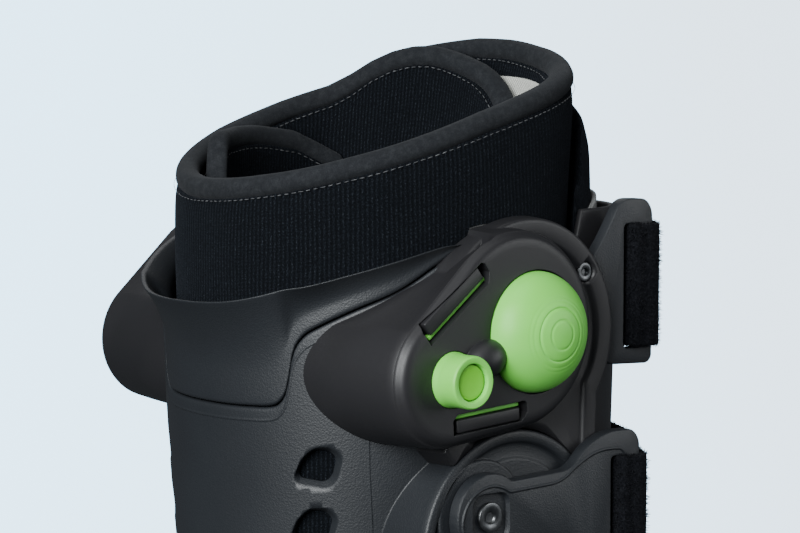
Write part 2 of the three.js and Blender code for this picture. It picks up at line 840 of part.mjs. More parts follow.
// Corners of a slanted slot: middle, length, width and lean
function slotOutline(x, z, length, width, lean) {
  const turn = THREE.MathUtils.degToRad(lean);
  const corners = [[-length / 2, -width / 2], [length / 2 - width / 2, -width / 2], [length / 2, 0],
    [length / 2, width / 2], [-length / 2 + width / 3, width / 2], [-length / 2, width / 6]];
  return corners.map(([u, v]) => [x + u * Math.cos(turn) - v * Math.sin(turn),
    z + u * Math.sin(turn) + v * Math.cos(turn)]);
}

// Slots in the pod: shares of podBulbRadius round the bulb's middle
const slots = [
  { name: "upper", along: -0.885, height: 0.34, length: 1, width: 0.194, lean: 36, side: 1 },
  { name: "lower", along: -0.44, height: -0.836, length: 0.88, width: 0.206, lean: 3, side: -1 },
].map((slot) => ({ ...slot, x: podBulbX + slot.along * podBulbRadius,
  z: podBulbZ + slot.height * podBulbRadius, length: slot.length * podBulbRadius,
  width: slot.width * podBulbRadius }));
const slotDepth = 4.5;

function podSide(side) {
  const { x, radius } = hubOf(side);
  const inside = solid(columnLoft((z) => legSize(z, gap), legLevels));
  const overHub = solid(sidePrism(arc(x, hubZ, radius + gap, 0, 345, 23), -hubFace - gap, 0));
  return solid(podLoft()).add(flangeSolid()).subtract(inside).subtract(overHub)
    .subtract(solid(sidePrism(collarRegion(gap), -calfHalf - 3, -calfHalf * 0.4)));
}

function makePumpHousing() {
  let body = podSide(-1);
  const bulbSeat = turnedAlongY([[0, -podFace - 1], [bulbRadius + 0.5, -podFace - 1],
    [bulbRadius + 0.5, -podFace + bulbSink], [0, -podFace + bulbSink]], bulbX, bulbZ, 32);
  const valveSeat = turnedAlongY([[0, -podFace - 1], [valveRadius + 0.8, -podFace - 1],
    [valveRadius + 0.8, -podFace + 2], [0, -podFace + 2]], valveX, valveZ, 24);
  body = body.subtract(solid(bulbSeat)).subtract(solid(valveSeat)).subtract(flangeHole());
  for (const slot of slots) {
    const pocket = sidePrism(slotOutline(slot.x, slot.z, slot.length, slot.width, slot.lean),
      -podFace - 1, -podFace + slotDepth);
    body = body.subtract(solid(pocket));
  }
  return geometryOf(body);
}

function makeFarHousing() {
  return geometryOf(mirrored(podSide(1).subtract(flangeHole())));
}

const screwX = 25;
const screwZ = 332;
const screwRadius = 3.4;

function flangeHole() {
  return solid(turnedAlongY([[0, -flangeFace - 1], [screwRadius + gap, -flangeFace - 1],
    [screwRadius + gap, -flangeFace + 2.4], [0, -flangeFace + 2.4]], screwX, screwZ, 20));
}

function makeFlangeScrew() {
  const top = -flangeFace + 0.7;
  return turnedAlongY([[0, top + 1], [1.4, top + 1], [1.4, top], [screwRadius - 0.3, top],
    [screwRadius, top + 0.4], [screwRadius, -flangeFace + 2.4 - gap], [0, -flangeFace + 2.4 - gap]],
    screwX, screwZ, 12);
}

function makeBulb() {
  const base = -podFace + bulbSink - gap;
  const dome = range(90, 5, 7).map((degrees) => {
    const turn = THREE.MathUtils.degToRad(degrees);
    return [bulbRadius * Math.cos(turn), base - 2.4 - bulbDome * Math.sin(turn)];
  });
  return turnedAlongY([[0, dome[0][1]], ...dome.slice(1), [bulbRadius, base - 2.2], [bulbRadius, base],
    [0, base]], bulbX, bulbZ, 24);
}

function makeValveCollar() {
  const seat = -podFace + 2 - gap;
  const face = -podFace - valveLength;
  const floor = face + 1.4 + buttonDepth + buttonTravel + 2 * gap;
  return turnedAlongY([[0, floor], [valveBore, floor], [valveBore, face + 0.5], [valveBore + 0.6, face],
    [valveRadius - 0.6, face], [valveRadius, face + 0.6], [valveRadius, seat], [0, seat]],
    valveX, valveZ, 20);
}

function makeValveButton() {
  const top = -podFace - valveLength + 1.4;
  const radius = valveBore - gap - 0.1;
  return turnedAlongY([[0, top], [radius - 0.8, top], [radius, top + 0.6], [radius, top + buttonDepth],
    [0, top + buttonDepth]], valveX, valveZ, 16);
}

// Each slot holds a dark sliding latch over a strip of the green core
function slotHalf(slot, high) {
  const width = (slot.width - 3 * gap) / 2;
  const shift = (high ? 1 : -1) * (width + gap) / 2;
  const turn = THREE.MathUtils.degToRad(slot.lean);
  return { ...slot, width, length: slot.length - 8, x: slot.x - shift * Math.sin(turn),
    z: slot.z + shift * Math.cos(turn) };
}

function makeSlotPiece(slot, high, depth) {
  const half = slotHalf(slot, high);
  const turn = THREE.MathUtils.degToRad(half.lean);
  const outline = [[-1, -1], [1, -1], [1, 1], [-1, 1]].map(([u, v]) => {
    const along = (u * half.length) / 2;
    const across = (v * half.width) / 2;
    return [half.x + along * Math.cos(turn) - across * Math.sin(turn),
      half.z + along * Math.sin(turn) + across * Math.cos(turn)];
  });
  return sidePrism(outline, -podFace + depth, -podFace + slotDepth - gap);
}

// Frame of a strap clip, with its upright slot
function clipFrame(slotTop) {
  const low = slotTop - strapWide - 1;
  const right = slotX + slotWide + barWide;
  return {
    outline: [[slotX - 9, low - 5], [right - 2, low - 6], [right, low - 3], [right, slotTop + 6],
      [right - 3, slotTop + 9], [slotX - 1, slotTop + 9.5], [slotX - 8, slotTop - 2]],
    slot: [[slotX, low], [slotX + slotWide, low], [slotX + slotWide, slotTop + 0.5], [slotX, slotTop + 0.5]],
  };
}

function makeUpperClip(side) {
  const frame = clipFrame(upperSlotTop);
  const tongue = wallFront + 2 * gap;
  const outline = frameOutline(tongue, frame, upperSlotTop);
  const body = solid(sidePrism(outline, -clipFace, -clipFace + clipThick, [frame.slot]));
  return geometryOf(side < 0 ? body : mirrored(body));
}

// Clip outline: the frame with a tongue on its rear side
function frameOutline(tongue, frame, slotTop) {
  const front = frame.outline.slice(0, 6);
  return [[tongue, slotTop - 36], ...front, frame.outline[6], [tongue, slotTop - 12]];
}

function makeLowerClip(side) {
  const frame = clipFrame(lowerSlotTop);
  const { rivet } = hubOf(side);
  const hub = arc(rivet, rivetZ, 15, 42, 318, 18);
  const shift = ([x, z]) => [x > 20 ? x - lowerClipBack : x, z];
  const outline = [...hub, [12, rivetZ - 11], [slotX - 16, frame.slot[0][1] - 2],
    ...frame.outline.slice(0, 6), [slotX - 16, lowerSlotTop + 5], [16, rivetZ + 11.5]];
  const moved = outline.map(shift);
  const slot = frame.slot.map(shift);
  let body = solid(sidePrism(moved, -lowerClipFace, -lowerClipFace + clipThick, [slot]));
  const recess = turnedAlongY([[0, -lowerClipFace - 1], [rivetRadius + 2.4, -lowerClipFace - 1],
    [rivetRadius + 2.4, -lowerClipFace + 1.6], [rivetRadius * 0.5 + gap, -lowerClipFace + 1.6],
    [rivetRadius * 0.5 + gap, -lowerClipFace + clipThick + 1], [0, -lowerClipFace + clipThick + 1]],
    rivet, rivetZ, 16);
  body = body.subtract(solid(recess));
  return geometryOf(side < 0 ? body : mirrored(body));
}

function makeRivet(side) {
  const head = -lowerClipFace + 0.2;
  const seat = -lowerClipFace + 1.6 - gap;
  const end = -calfHalf + 6;
  const shank = rivetRadius * 0.5;
  const body = solid(turnedAlongY([[0, head + 0.9], [1.9, head + 0.9], [2.3, head],
    [rivetRadius - 0.6, head], [rivetRadius, head + 0.5], [rivetRadius, seat], [shank, seat], [shank, end],
    [0, end]], hubOf(side).rivet, rivetZ, 16));
  return geometryOf(side < 0 ? body : mirrored(body));
}

// Bends of a leg strap beside the shin: shares of its front reach, and of the bar's inner side
const upperBends = {
  turn: [0.785, 0.843], crest: [0.918, 0.533], innerTurn: [0.781, 0.796], end: [0.914, 0.506],
};
const lowerBends = {
  turn: [0.66, 0.80], crest: [0.876, 0.477], innerTurn: [0.658, 0.748], end: [0.874, 0.449],
};

// Plan path of a leg strap on the pump side: through the slot, round the bar and over the shin
function strapPath(barX, barY, front, bends) {
  const outsideBar = barY - clipThick / 2 - strapThick / 2 - 0.8;
  const insideBar = barY + clipThick / 2 + strapThick / 2 + 0.8;
  const slotMiddle = barX - barWide / 2 - slotWide / 2;
  const inner = front - strapThick - 1.2;
  const half = [
    [inner * bends.end[0], insideBar * bends.end[1]],
    [inner * bends.innerTurn[0], insideBar * bends.innerTurn[1]], [barX + barWide * 0.9, insideBar + 1],
    [slotMiddle + 2.4, insideBar], [slotMiddle, insideBar - 1.4], [slotMiddle, outsideBar + 1.4],
    [slotMiddle + 2.4, outsideBar], [barX + barWide * 0.9, outsideBar + 0.5],
    [front * bends.turn[0], insideBar * bends.turn[1]], [front * bends.crest[0], insideBar * bends.crest[1]],
    [front, 0],
  ];
  const other = half.slice(0, -1).reverse().map(([x, y]) => [x, -y]);
  return [...half, ...other].map(([x, y]) => new THREE.Vector2(x, y));
}

function ribbon(points, thick, low, high) {
  const curve = new THREE.SplineCurve(points);
  const count = Math.round(points.length * 1.6);
  const path = curve.getPoints(count);
  const sides = [1, -1].map((sign) => path.map((point, i) => {
    const before = path[Math.max(0, i - 1)];
    const after = path[Math.min(path.length - 1, i + 1)];
    const along = after.clone().sub(before).normalize();
    return new THREE.Vector2(point.x - (along.y * sign * thick) / 2, point.y + (along.x * sign * thick) / 2);
  }));
  const shape = new THREE.Shape([...sides[0], ...sides[1].reverse()]);
  const geometry = new THREE.ExtrudeGeometry(shape, { depth: high - low, bevelEnabled: false });
  geometry.translate(0, 0, low);
  return geometry;
}

function makeLegStrap(slotTop, barX, face, bends) {
  const barY = -face + clipThick / 2;
  return ribbon(strapPath(barX, barY, strapFront, bends), strapThick, slotTop - strapWide, slotTop);
}

// Path of a foot strap over one side: shares of its reach sideways and of its rise
const overArch = [
  { side: 1.0, up: 0.0 }, { side: 1.0, up: 0.36 }, { side: 0.93, up: 0.57 }, { side: 0.74, up: 0.78 },
  { side: 0.43, up: 0.93 }, { side: 0.0, up: 1.0 },
];
const overAnkle = [
  { side: 0.895, up: -0.046 }, { side: 0.908, up: 0.154 }, { side: 0.934, up: 0.338 },
  { side: 0.957, up: 0.477 }, { side: 0.98, up: 0.615 }, { side: 1.0, up: 0.708 }, { side: 0.915, up: 0.76 },
  { side: 0.78, up: 0.85 }, { side: 0.553, up: 0.925 }, { side: 0.277, up: 0.98 }, { side: 0.0, up: 1.0 },
];
const archReach = footHalf + strapThick / 2 + 2 * gap;
const ankleReach = calfHalf * 0.824;
const ankleRise = 139;
const archLift = 9;

const ankleWide = 38;
const instepWide = 34;
const toeWide = 27;

// Foot straps: anchor as shares of footToe and calfHeight, lean of the strap's plane and width
const footStraps = [
  { name: "ankle_strap", along: -0.059, height: 0.226, lean: 54, wide: ankleWide, rows: overAnkle,
    reach: ankleReach },
  { name: "instep_strap", along: 0.52, height: 0.145, lean: 12, wide: instepWide, rows: overArch,
    reach: archReach },
  { name: "toe_strap", along: 0.735, height: 0.1275, lean: 8, wide: toeWide, rows: overArch,
    reach: archReach },
].map((strap) => ({ ...strap, x: strap.along * footToe, z: strap.height * calfHeight }));

function footStrapPath({ x, z, rows, reach }) {
  const arch = rowAt(archRows, "along", x / footToe).top * calfHeight + archLift - z;
  const rise = rows === overAnkle ? ankleRise : arch;
  return rows.map((row) => [-row.side * reach, row.up * rise]);
}
const rivetHead = 5;
const rivetRise = 1.8;

function strapBasis({ x, z, lean }) {
  const turn = THREE.MathUtils.degToRad(lean);
  const up = new THREE.Vector3(Math.sin(turn), 0, Math.cos(turn));
  const across = new THREE.Vector3(Math.cos(turn), 0, -Math.sin(turn));
  const basis = new THREE.Matrix4().makeBasis(new THREE.Vector3(0, 1, 0), up, across);
  return basis.setPosition(x, 0, z);
}

function makeFootStrap(strap) {
  const path = footStrapPath(strap);
  const half = path.map(([y, up]) => new THREE.Vector2(y, up));
  const other = path.slice(0, -1).reverse().map(([y, up]) => new THREE.Vector2(-y, up));
  const geometry = ribbon([...half, ...other], strapThick, -strap.wide / 2, strap.wide / 2);
  return geometry.applyMatrix4(strapBasis(strap));
}

// Rivet head on the outer face of a strap's end
function makeStrapRivet(strap, side) {
  const [low, next] = footStrapPath(strap);
  const rise = rivetHead + 2;
  const y = low[0] + ((next[0] - low[0]) * 2 * rise) / (next[1] - low[1]);
  const seat = y - strapThick / 2 - gap;
  const centre = new THREE.Vector3(0, low[1] + rise, 0).applyMatrix4(strapBasis(strap));
  const body = solid(turnedAlongY([[0, seat - rivetRise], [rivetHead - 1, seat - rivetRise],
    [rivetHead, seat], [0, seat]], centre.x, centre.z, 10));
  return geometryOf(side < 0 ? body : mirrored(body));
}

const plastic = { color: 0x1e2125, roughness: 0.5, metalness: 0 };
const darkPlastic = { color: 0x262325, roughness: 0.45, metalness: 0 };
const fabric = { color: 0x0e1116, roughness: 0.95, metalness: 0 };
const bindingCloth = { color: 0x303134, roughness: 0.9, metalness: 0 };
const knit = { color: 0xb9bbb2, roughness: 0.95, metalness: 0 };
const green = { color: 0x94d080, roughness: 0.5, metalness: 0 };
const rubber = { color: 0x17181a, roughness: 0.85, metalness: 0 };
const steel = { color: 0x6a6d70, roughness: 0.35, metalness: 1 };

const boot = new THREE.Group();

function place(name, geometry, finish) {
  const mesh = new THREE.Mesh(geometry, new THREE.MeshStandardMaterial(finish));
  mesh.name = name;
  boot.add(mesh);
}

place("sole_tread", makeTread(), rubber);
place("midsole", makeMidsole(), plastic);
place("boot_shell", makeShell(), plastic);
place("calf_collar", makeCollar(), plastic);
place("liner_foot", makeFootLiner(), fabric);
place("liner_wrap", makeWrap(), fabric);
place("liner_rim", makeRim(), bindingCloth);
place("front_lining", makeFrontLining(), knit);
place("calf_pad", makeCalfPad(), fabric);
place("calf_pad_binding", makeCalfPadBinding(), bindingCloth);
place("shin_pad", makeShinPad(), fabric);
place("panel_lining", makePanelLining(), knit);
place("front_panel", makeFrontPanel(), darkPlastic);
place("pump_housing", makePumpHousing(), darkPlastic);
place("far_housing", makeFarHousing(), darkPlastic);
place("pump_bulb", makeBulb(), green);
place("valve_collar", makeValveCollar(), green);
place("valve_button", makeValveButton(), green);
for (const slot of slots) {
  place(`latch_${slot.name}`, makeSlotPiece(slot, slot.side > 0, 1.2), darkPlastic);
  place(`pump_core_${slot.name}`, makeSlotPiece(slot, slot.side < 0, 2.2), green);
}
const screw = makeFlangeScrew();
place("flange_screw_near", screw, steel);
place("flange_screw_far", geometryOf(mirrored(solid(screw))), steel);
for (const [where, side] of [["near", -1], ["far", 1]]) {
  place(`upper_clip_${where}`, makeUpperClip(side), plastic);
  place(`lower_clip_${where}`, makeLowerClip(side), plastic);
  place(`clip_rivet_${where}`, makeRivet(side), steel);
}
place("upper_strap", makeLegStrap(upperSlotTop, slotX + slotWide + barWide / 2, clipFace, upperBends),
  fabric);
const lowerBarX = slotX + slotWide + barWide / 2 - lowerClipBack;
place("lower_strap", makeLegStrap(lowerSlotTop, lowerBarX, lowerClipFace, lowerBends), fabric);
for (const strap of footStraps) {
  place(strap.name, makeFootStrap(strap), fabric);
  place(`${strap.name}_rivet_near`, makeStrapRivet(strap, -1), steel);
  place(`${strap.name}_rivet_far`, makeStrapRivet(strap, 1), steel);
}

export default boot;
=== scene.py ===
import math
import random

import bpy
from mathutils import Matrix, Vector, noise


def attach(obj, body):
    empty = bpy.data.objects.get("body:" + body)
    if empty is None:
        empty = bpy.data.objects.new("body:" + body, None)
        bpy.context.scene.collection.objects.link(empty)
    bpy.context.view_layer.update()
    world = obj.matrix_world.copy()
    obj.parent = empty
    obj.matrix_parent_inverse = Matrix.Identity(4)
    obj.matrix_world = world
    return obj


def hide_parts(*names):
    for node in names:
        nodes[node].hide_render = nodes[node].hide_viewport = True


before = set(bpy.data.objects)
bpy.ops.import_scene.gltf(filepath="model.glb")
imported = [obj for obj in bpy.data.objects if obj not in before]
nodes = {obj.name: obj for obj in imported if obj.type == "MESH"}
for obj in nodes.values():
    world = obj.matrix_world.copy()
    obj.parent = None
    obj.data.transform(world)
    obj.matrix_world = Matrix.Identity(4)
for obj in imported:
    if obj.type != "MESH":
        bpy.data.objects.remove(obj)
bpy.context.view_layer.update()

# Sole. A stiff plastic midsole with a rubber tread bonded under it, curved up at
# heel and toe so that the wearer rolls over it. Both are moulded; their sizes are
# in millimetres, as all sizes below, and the finish helpers are made here too.
MM = 0.001
SOLE_HEIGHT = 30
SOLE_LEDGE = 6
TREAD_THICK = 7
GAP = 0.3
FOOT_HEEL = 66
FOOT_TOE = 204
FOOT_HALF = 57
FOOT_ROWS = ((-0.88, 0.52), (-0.50, 0.85), (0.0, 0.90), (0.30, 0.92), (0.55, 1.0),
             (0.75, 0.95), (0.91, 0.68), (0.985, 0.33))
FLAT_FRONT = 70
FLAT_REAR = 45
TOE_SPRING = 15
HEEL_SPRING = 8
GROOVE_WIDE = 5
GROOVE_DEEP = 3.5
GROOVE_PITCH = 17


class Value:
    """A shader value on which sums are written as expressions."""

    def __init__(self, finish, socket):
        self.finish = finish
        self.socket = socket

    def join(self, operation, first, second):
        return self.finish.node("ShaderNodeMath", {"operation": operation}, {0: first, 1: second})

    def __add__(self, other):
        return self.join("ADD", self, other)

    def __radd__(self, other):
        return self.join("ADD", other, self)

    def __sub__(self, other):
        return self.join("SUBTRACT", self, other)

    def __rsub__(self, other):
        return self.join("SUBTRACT", other, self)

    def __mul__(self, other):
        return self.join("MULTIPLY", self, other)

    def __rmul__(self, other):
        return self.join("MULTIPLY", other, self)

    def __truediv__(self, other):
        return self.join("DIVIDE", self, other)

    def __pow__(self, other):
        return self.join("POWER", self, other)

    def sine(self):
        return self.finish.node("ShaderNodeMath", {"operation": "SINE"}, {0: self})

    def size(self):
        return self.finish.node("ShaderNodeMath", {"operation": "ABSOLUTE"}, {0: self})

    def output(self, number):
        return Value(self.finish, self.socket.node.outputs[number])


class Finish:
    """A material in the making; constants go straight on its shader."""

    def __init__(self, name, color, roughness, **constants):
        self.material = bpy.data.materials.new(name)
        self.material.use_nodes = True
        self.tree = self.material.node_tree
        self.shader = self.tree.nodes["Principled BSDF"]
        self.set("Base Color", color)
        self.set("Roughness", roughness)
        for key, value in constants.items():
            self.set(key.replace("_", " "), value)

    def set(self, key, value):
        if isinstance(value, tuple) and len(value) == 3 and self.shader.inputs[key].type == "RGBA":
            value = (*value, 1)
        self.feed(self.shader.inputs[key], value)

    def feed(self, socket, value):
        if isinstance(value, Value):
            self.tree.links.new(value.socket, socket)
        else:
            socket.default_value = value

    def node(self, kind, settings=None, inputs=None, output=0):
        made = self.tree.nodes.new(kind)
        for key, value in (settings or {}).items():
            if key == "stops":
                for place, color in value:
                    stop = made.color_ramp.elements.new(place)
                    stop.color = (*color, 1)
                made.color_ramp.elements.remove(made.color_ramp.elements[0])
                made.color_ramp.elements.remove(made.color_ramp.elements[-1])
            else:
                setattr(made, key, value)
        for key, value in (inputs or {}).items():
            if isinstance(value, tuple) and len(value) == 3 and made.inputs[key].type == "RGBA":
                value = (*value, 1)
            self.feed(made.inputs[key], value)
        return Value(self, made.outputs[output])

    def place(self):
        return self.node("ShaderNodeTexCoord", output="Object")

    def cloth(self):
        return self.node("ShaderNodeUVMap")

    def grain(self, scale, detail=2.0, rough=0.5, place=None):
        return self.node("ShaderNodeTexNoise", None, {
            "Vector": place or self.place(), "Scale": scale, "Detail": detail, "Roughness": rough})

    def cells(self, scale, place=None, feature="F1"):
        return self.node("ShaderNodeTexVoronoi", {"feature": feature}, {
            "Vector": place or self.place(), "Scale": scale})

    def ramp(self, value, stops):
        return self.node("ShaderNodeValToRGB", {"stops": stops}, {0: value})

    def shades(self, value, dark, light, low=0.3, high=0.7):
        return self.ramp(value, [(low, dark), (high, light)])

    def bump(self, height, distance, strength=1.0, normal=None):
        inputs = {"Height": height, "Distance": distance, "Strength": strength}
        if normal:
            inputs["Normal"] = normal
        return self.node("ShaderNodeBump", None, inputs)


def curve_at(rows, place):
    """Row of a table at a place along its first column, on a smooth curve."""
    last = len(rows) - 1
    if place <= rows[0][0]:
        return rows[0][1:]
    if place >= rows[last][0]:
        return rows[last][1:]
    i = max(k for k in range(last) if rows[k][0] <= place)
    span = rows[i + 1][0] - rows[i][0]
    t = (place - rows[i][0]) / span
    result = []
    for column in range(1, len(rows[0])):
        slopes = []
        for k in (i, i + 1):
            before, after = rows[max(k - 1, 0)], rows[min(k + 1, last)]
            slopes.append((after[column] - before[column]) / (after[0] - before[0]) * span)
        low, high = rows[i][column], rows[i + 1][column]
        result.append((2 * t**3 - 3 * t**2 + 1) * low + (t**3 - 2 * t**2 + t) * slopes[0]
                      + (3 * t**2 - 2 * t**3) * high + (t**3 - t**2) * slopes[1])
    return tuple(result)


def line_at(rows, place):
    """The same on straight lines."""
    if place <= rows[0][0]:
        return rows[0][1:]
    for low, high in zip(rows, rows[1:]):
        if place <= high[0]:
            t = (place - low[0]) / (high[0] - low[0])
            return tuple(a + t * (b - a) for a, b in zip(low[1:], high[1:]))
    return rows[-1][1:]


def spline(knots, steps, closed=False):
    """Points on a smooth line through knots."""
    count = len(knots)
    path = []
    for i in range(count if closed else count - 1):
        picks = [(i + k) % count if closed else min(max(i + k, 0), count - 1) for k in (-1, 0, 1, 2)]
        a, b, c, d = (Vector(knots[k]) for k in picks)
        for step in range(steps):
            t = step / steps
            path.append(0.5 * (2 * b + (c - a) * t + (2 * a - 5 * b + 4 * c - d) * t**2
                               + (3 * b - a - 3 * c + d) * t**3))
    if not closed:
        path.append(Vector(knots[-1]))
    return path


def skin(name, rings, fill=False, smooth=None):
    """Surface laid on rings of equal count, from a grid; its UV map is in metres."""
    across, up = len(rings) - 1, len(rings[0]) - 1
    bpy.ops.object.select_all(action="DESELECT")
    bpy.ops.mesh.primitive_grid_add(x_subdivisions=across, y_subdivisions=up, size=2)
    piece = bpy.context.object
    piece.name = piece.data.name = name
    ahead, beside = [0.0], [0.0]
    for i in range(across):
        ahead.append(ahead[-1] + (Vector(rings[i + 1][up // 4]) - Vector(rings[i][up // 4])).length * MM)
    for j in range(up):
        middle = rings[across // 2]
        beside.append(beside[-1] + (Vector(middle[j + 1]) - Vector(middle[j])).length * MM)
    where = []
    for vertex in piece.data.vertices:
        i = round((vertex.co.x + 1) / 2 * across)
        j = round((vertex.co.y + 1) / 2 * up)
        where.append((ahead[i], beside[j]))
        vertex.co = Vector(rings[i][j]) * MM
    sheet = piece.data.uv_layers.active.data
    for loop in piece.data.loops:
        sheet[loop.index].uv = where[loop.vertex_index]
    close_up(piece, fill)
    if smooth:
        bpy.ops.object.shade_smooth_by_angle(angle=math.radians(smooth))
    else:
        bpy.ops.object.shade_smooth()
    return piece


def close_up(piece, fill=False):
    """Merges meeting borders, fills open ends where asked, and turns the faces outwards."""
    bpy.ops.object.select_all(action="DESELECT")
    piece.select_set(True)
    bpy.context.view_layer.objects.active = piece
    bpy.ops.object.mode_set(mode="EDIT")
    bpy.ops.mesh.select_all(action="SELECT")
    bpy.ops.mesh.remove_doubles(threshold=2e-5)
    if fill:
        bpy.ops.mesh.fill_holes(sides=0)
    bpy.ops.mesh.select_all(action="SELECT")
    bpy.ops.mesh.normals_make_consistent(inside=False)
    bpy.ops.object.mode_set(mode="OBJECT")


def modify(piece, kind, **settings):
    """Adds a modifier and applies it."""
    bpy.ops.object.select_all(action="DESELECT")
    piece.select_set(True)
    bpy.context.view_layer.objects.active = piece
    made = piece.modifiers.new(kind.lower(), kind)
    for key, value in settings.items():
        setattr(made, key, value)
    bpy.ops.object.modifier_apply(modifier=made.name)


def cut(piece, *cutters):
    """Takes cutters out of a piece and removes them."""
    for cutter in cutters:
        modify(piece, "BOOLEAN", operation="DIFFERENCE", solver="EXACT", object=cutter)
        bpy.data.objects.remove(cutter, do_unlink=True)


def join(piece, *others):
    """Makes one object of several."""
    bpy.ops.object.select_all(action="DESELECT")
    for other in (piece, *others):
        other.select_set(True)
    bpy.context.view_layer.objects.active = piece
    bpy.ops.object.join()
    return piece


def finish_piece(piece, finish, slot, *replaced, body="boot"):
    """Gives a piece its material and its body, and hides the nodes that it stands for; the slot is not used."""
    piece.data.materials.clear()
    piece.data.materials.append(finish.material)
    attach(piece, body)
    if replaced:
        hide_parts(*replaced)


def box(name, low, high, turn=0.0, rounding=0.0):
    """Block between two corners, turned about the y axis at its middle, with rounded edges."""
    bpy.ops.object.select_all(action="DESELECT")
    bpy.ops.mesh.primitive_cube_add(size=1)
    piece = bpy.context.object
    piece.name = piece.data.name = name
    low, high = Vector(low), Vector(high)
    middle = (low + high) / 2
    turned = Matrix.Rotation(math.radians(-turn), 4, "Y")
    for vertex in piece.data.vertices:
        spot = Vector(a + (b - a) * (c + 0.5) for a, b, c in zip(low, high, vertex.co))
        vertex.co = (middle + turned @ (spot - middle)) * MM
    if rounding:
        modify(piece, "BEVEL", width=rounding * MM, segments=3, limit_method="NONE")
    bpy.ops.object.shade_smooth_by_angle(angle=math.radians(40))
    return piece


def rounded(corners, radii, steps=5):
    """Outline with rounded corners."""
    result = []
    count = len(corners)
    for i, corner in enumerate(corners):
        here = Vector(corner)
        before = Vector(corners[i - 1]) - here
        after = Vector(corners[(i + 1) % count]) - here
        radius = min(radii[i] if isinstance(radii, (list, tuple)) else radii,
                     before.length * 0.49, after.length * 0.49)
        a, b = here + before.normalized() * radius, here + after.normalized() * radius
        for k in range(steps + 1):
            t = k / steps
            result.append(tuple((1 - t) ** 2 * a + 2 * t * (1 - t) * here + t * t * b))
    return result


def foot_outline(grow):
    """Outline of the sole seen from above, grown outwards."""
    side = [(x * (FOOT_HEEL if x < 0 else FOOT_TOE) * (1 + grow / FOOT_TOE), y * FOOT_HALF + grow)
            for x, y in FOOT_ROWS]
    knots = [(-FOOT_HEEL - grow, 0), *((x, -y) for x, y in side), (FOOT_TOE + grow, 0),
             *((x, y) for x, y in reversed(side))]
    return spline(knots, 10, closed=True)


def rocker(x):
    """Height of the tread's underside: flat in the middle, raised to the toes and the heel."""
    if x > FLAT_FRONT:
        return TOE_SPRING * ((x - FLAT_FRONT) / (FOOT_TOE - FLAT_FRONT)) ** 2
    if x < -FLAT_REAR:
        return HEEL_SPRING * ((x + FLAT_REAR) / (FOOT_HEEL - FLAT_REAR)) ** 2
    return 0.0


def sole_ring(grow, height):
    """Closed ring round the sole; the height is a number, or a function of x."""
    ring = [(p.x, p.y, height(p.x) if callable(height) else height) for p in foot_outline(grow)]
    return ring + ring[:1]


midsole_low = TREAD_THICK + GAP
MIDSOLE_FOOT = ((-9, 0), (-1.2, 0), (-0.3, 0.4), (0, 1.2))  # grow past the ledge, rise
MIDSOLE_SIDE = ((0.2, 0.3), (0.36, 0.3), (0.40, -0.2), (0.42, -1.0), (0.46, -1.3), (0.50, -1.0),
                (0.52, -0.2), (0.56, 0.3), (0.75, 0.2), (0.95, 0))  # share of the height, swell
MIDSOLE_TOP = ((-0.3, -0.7), (-0.9, -0.2), (-1.8, 0), (-9, 0))
midsole = skin("midsole_body", [
    *[sole_ring(SOLE_LEDGE + grow, lambda x, r=rise: rocker(x) + midsole_low + r) for grow, rise in MIDSOLE_FOOT],
    *[sole_ring(SOLE_LEDGE + swell, lambda x, s=share: (rocker(x) + midsole_low) * (1 - s)
                + (SOLE_HEIGHT - 1.4) * s) for share, swell in MIDSOLE_SIDE],
    *[sole_ring(SOLE_LEDGE + grow, SOLE_HEIGHT + rise) for grow, rise in MIDSOLE_TOP],
], fill=True, smooth=40)

plastic = Finish("shell_plastic", (0.0115, 0.0132, 0.0160), 0.44, Specular_IOR_Level=0.46)
pebble = plastic.cells(1500)
fine = plastic.grain(2600, 3.0)
broad = plastic.grain(18, 2.0)
plastic.set("Roughness", 0.40 + 0.12 * plastic.grain(900, 2.0) + 0.06 * broad)
plastic.set("Base Color", plastic.shades(broad * 0.5 + fine * 0.5, (0.0095, 0.0110, 0.0135),
                                         (0.0140, 0.0162, 0.0195)))
edges = plastic.node("ShaderNodeBevel", {"samples": 4}, {"Radius": 0.0005})
plastic.set("Normal", plastic.bump(pebble * 0.6 + fine * 0.4, 0.00016, 0.6, edges))
finish_piece(midsole, plastic, "shell_plastic", "midsole")

TREAD_SIDE = ((-10, 0), (-2.8, 0), (-1.9, 0.5), (-1.5, 1.4), (-1.5, TREAD_THICK), (-10, TREAD_THICK))
tread = skin("sole_tread_rubber", [
    sole_ring(SOLE_LEDGE + grow, lambda x, r=rise: rocker(x) + r) for grow, rise in TREAD_SIDE
], fill=True, smooth=40)
grooves = []
x = -FOOT_HEEL + GROOVE_PITCH / 2
while x < FOOT_TOE - GROOVE_PITCH / 2:
    base = rocker(x)
    grooves.append(box("groove", (x, -70, base - 3), (x + GROOVE_WIDE, 70, base + GROOVE_DEEP)))
    x += GROOVE_PITCH
grooves.append(box("groove", (-40, -1.5, -1), (150, 1.5, 2)))
cut(tread, *grooves)
bpy.ops.object.shade_smooth_by_angle(angle=math.radians(40))
rubber = Finish("sole_rubber", (0.012, 0.0125, 0.013), 0.8)
rubber.set("Roughness", 0.72 + 0.15 * rubber.grain(600))
rubber.set("Base Color", rubber.shades(rubber.grain(40, 4.0), (0.009, 0.0095, 0.010), (0.018, 0.018, 0.019)))
rubber.set("Normal", rubber.bump(rubber.grain(1800, 3.0), 0.0002, 0.4))
finish_piece(tread, rubber, "sole_rubber", "sole_tread")

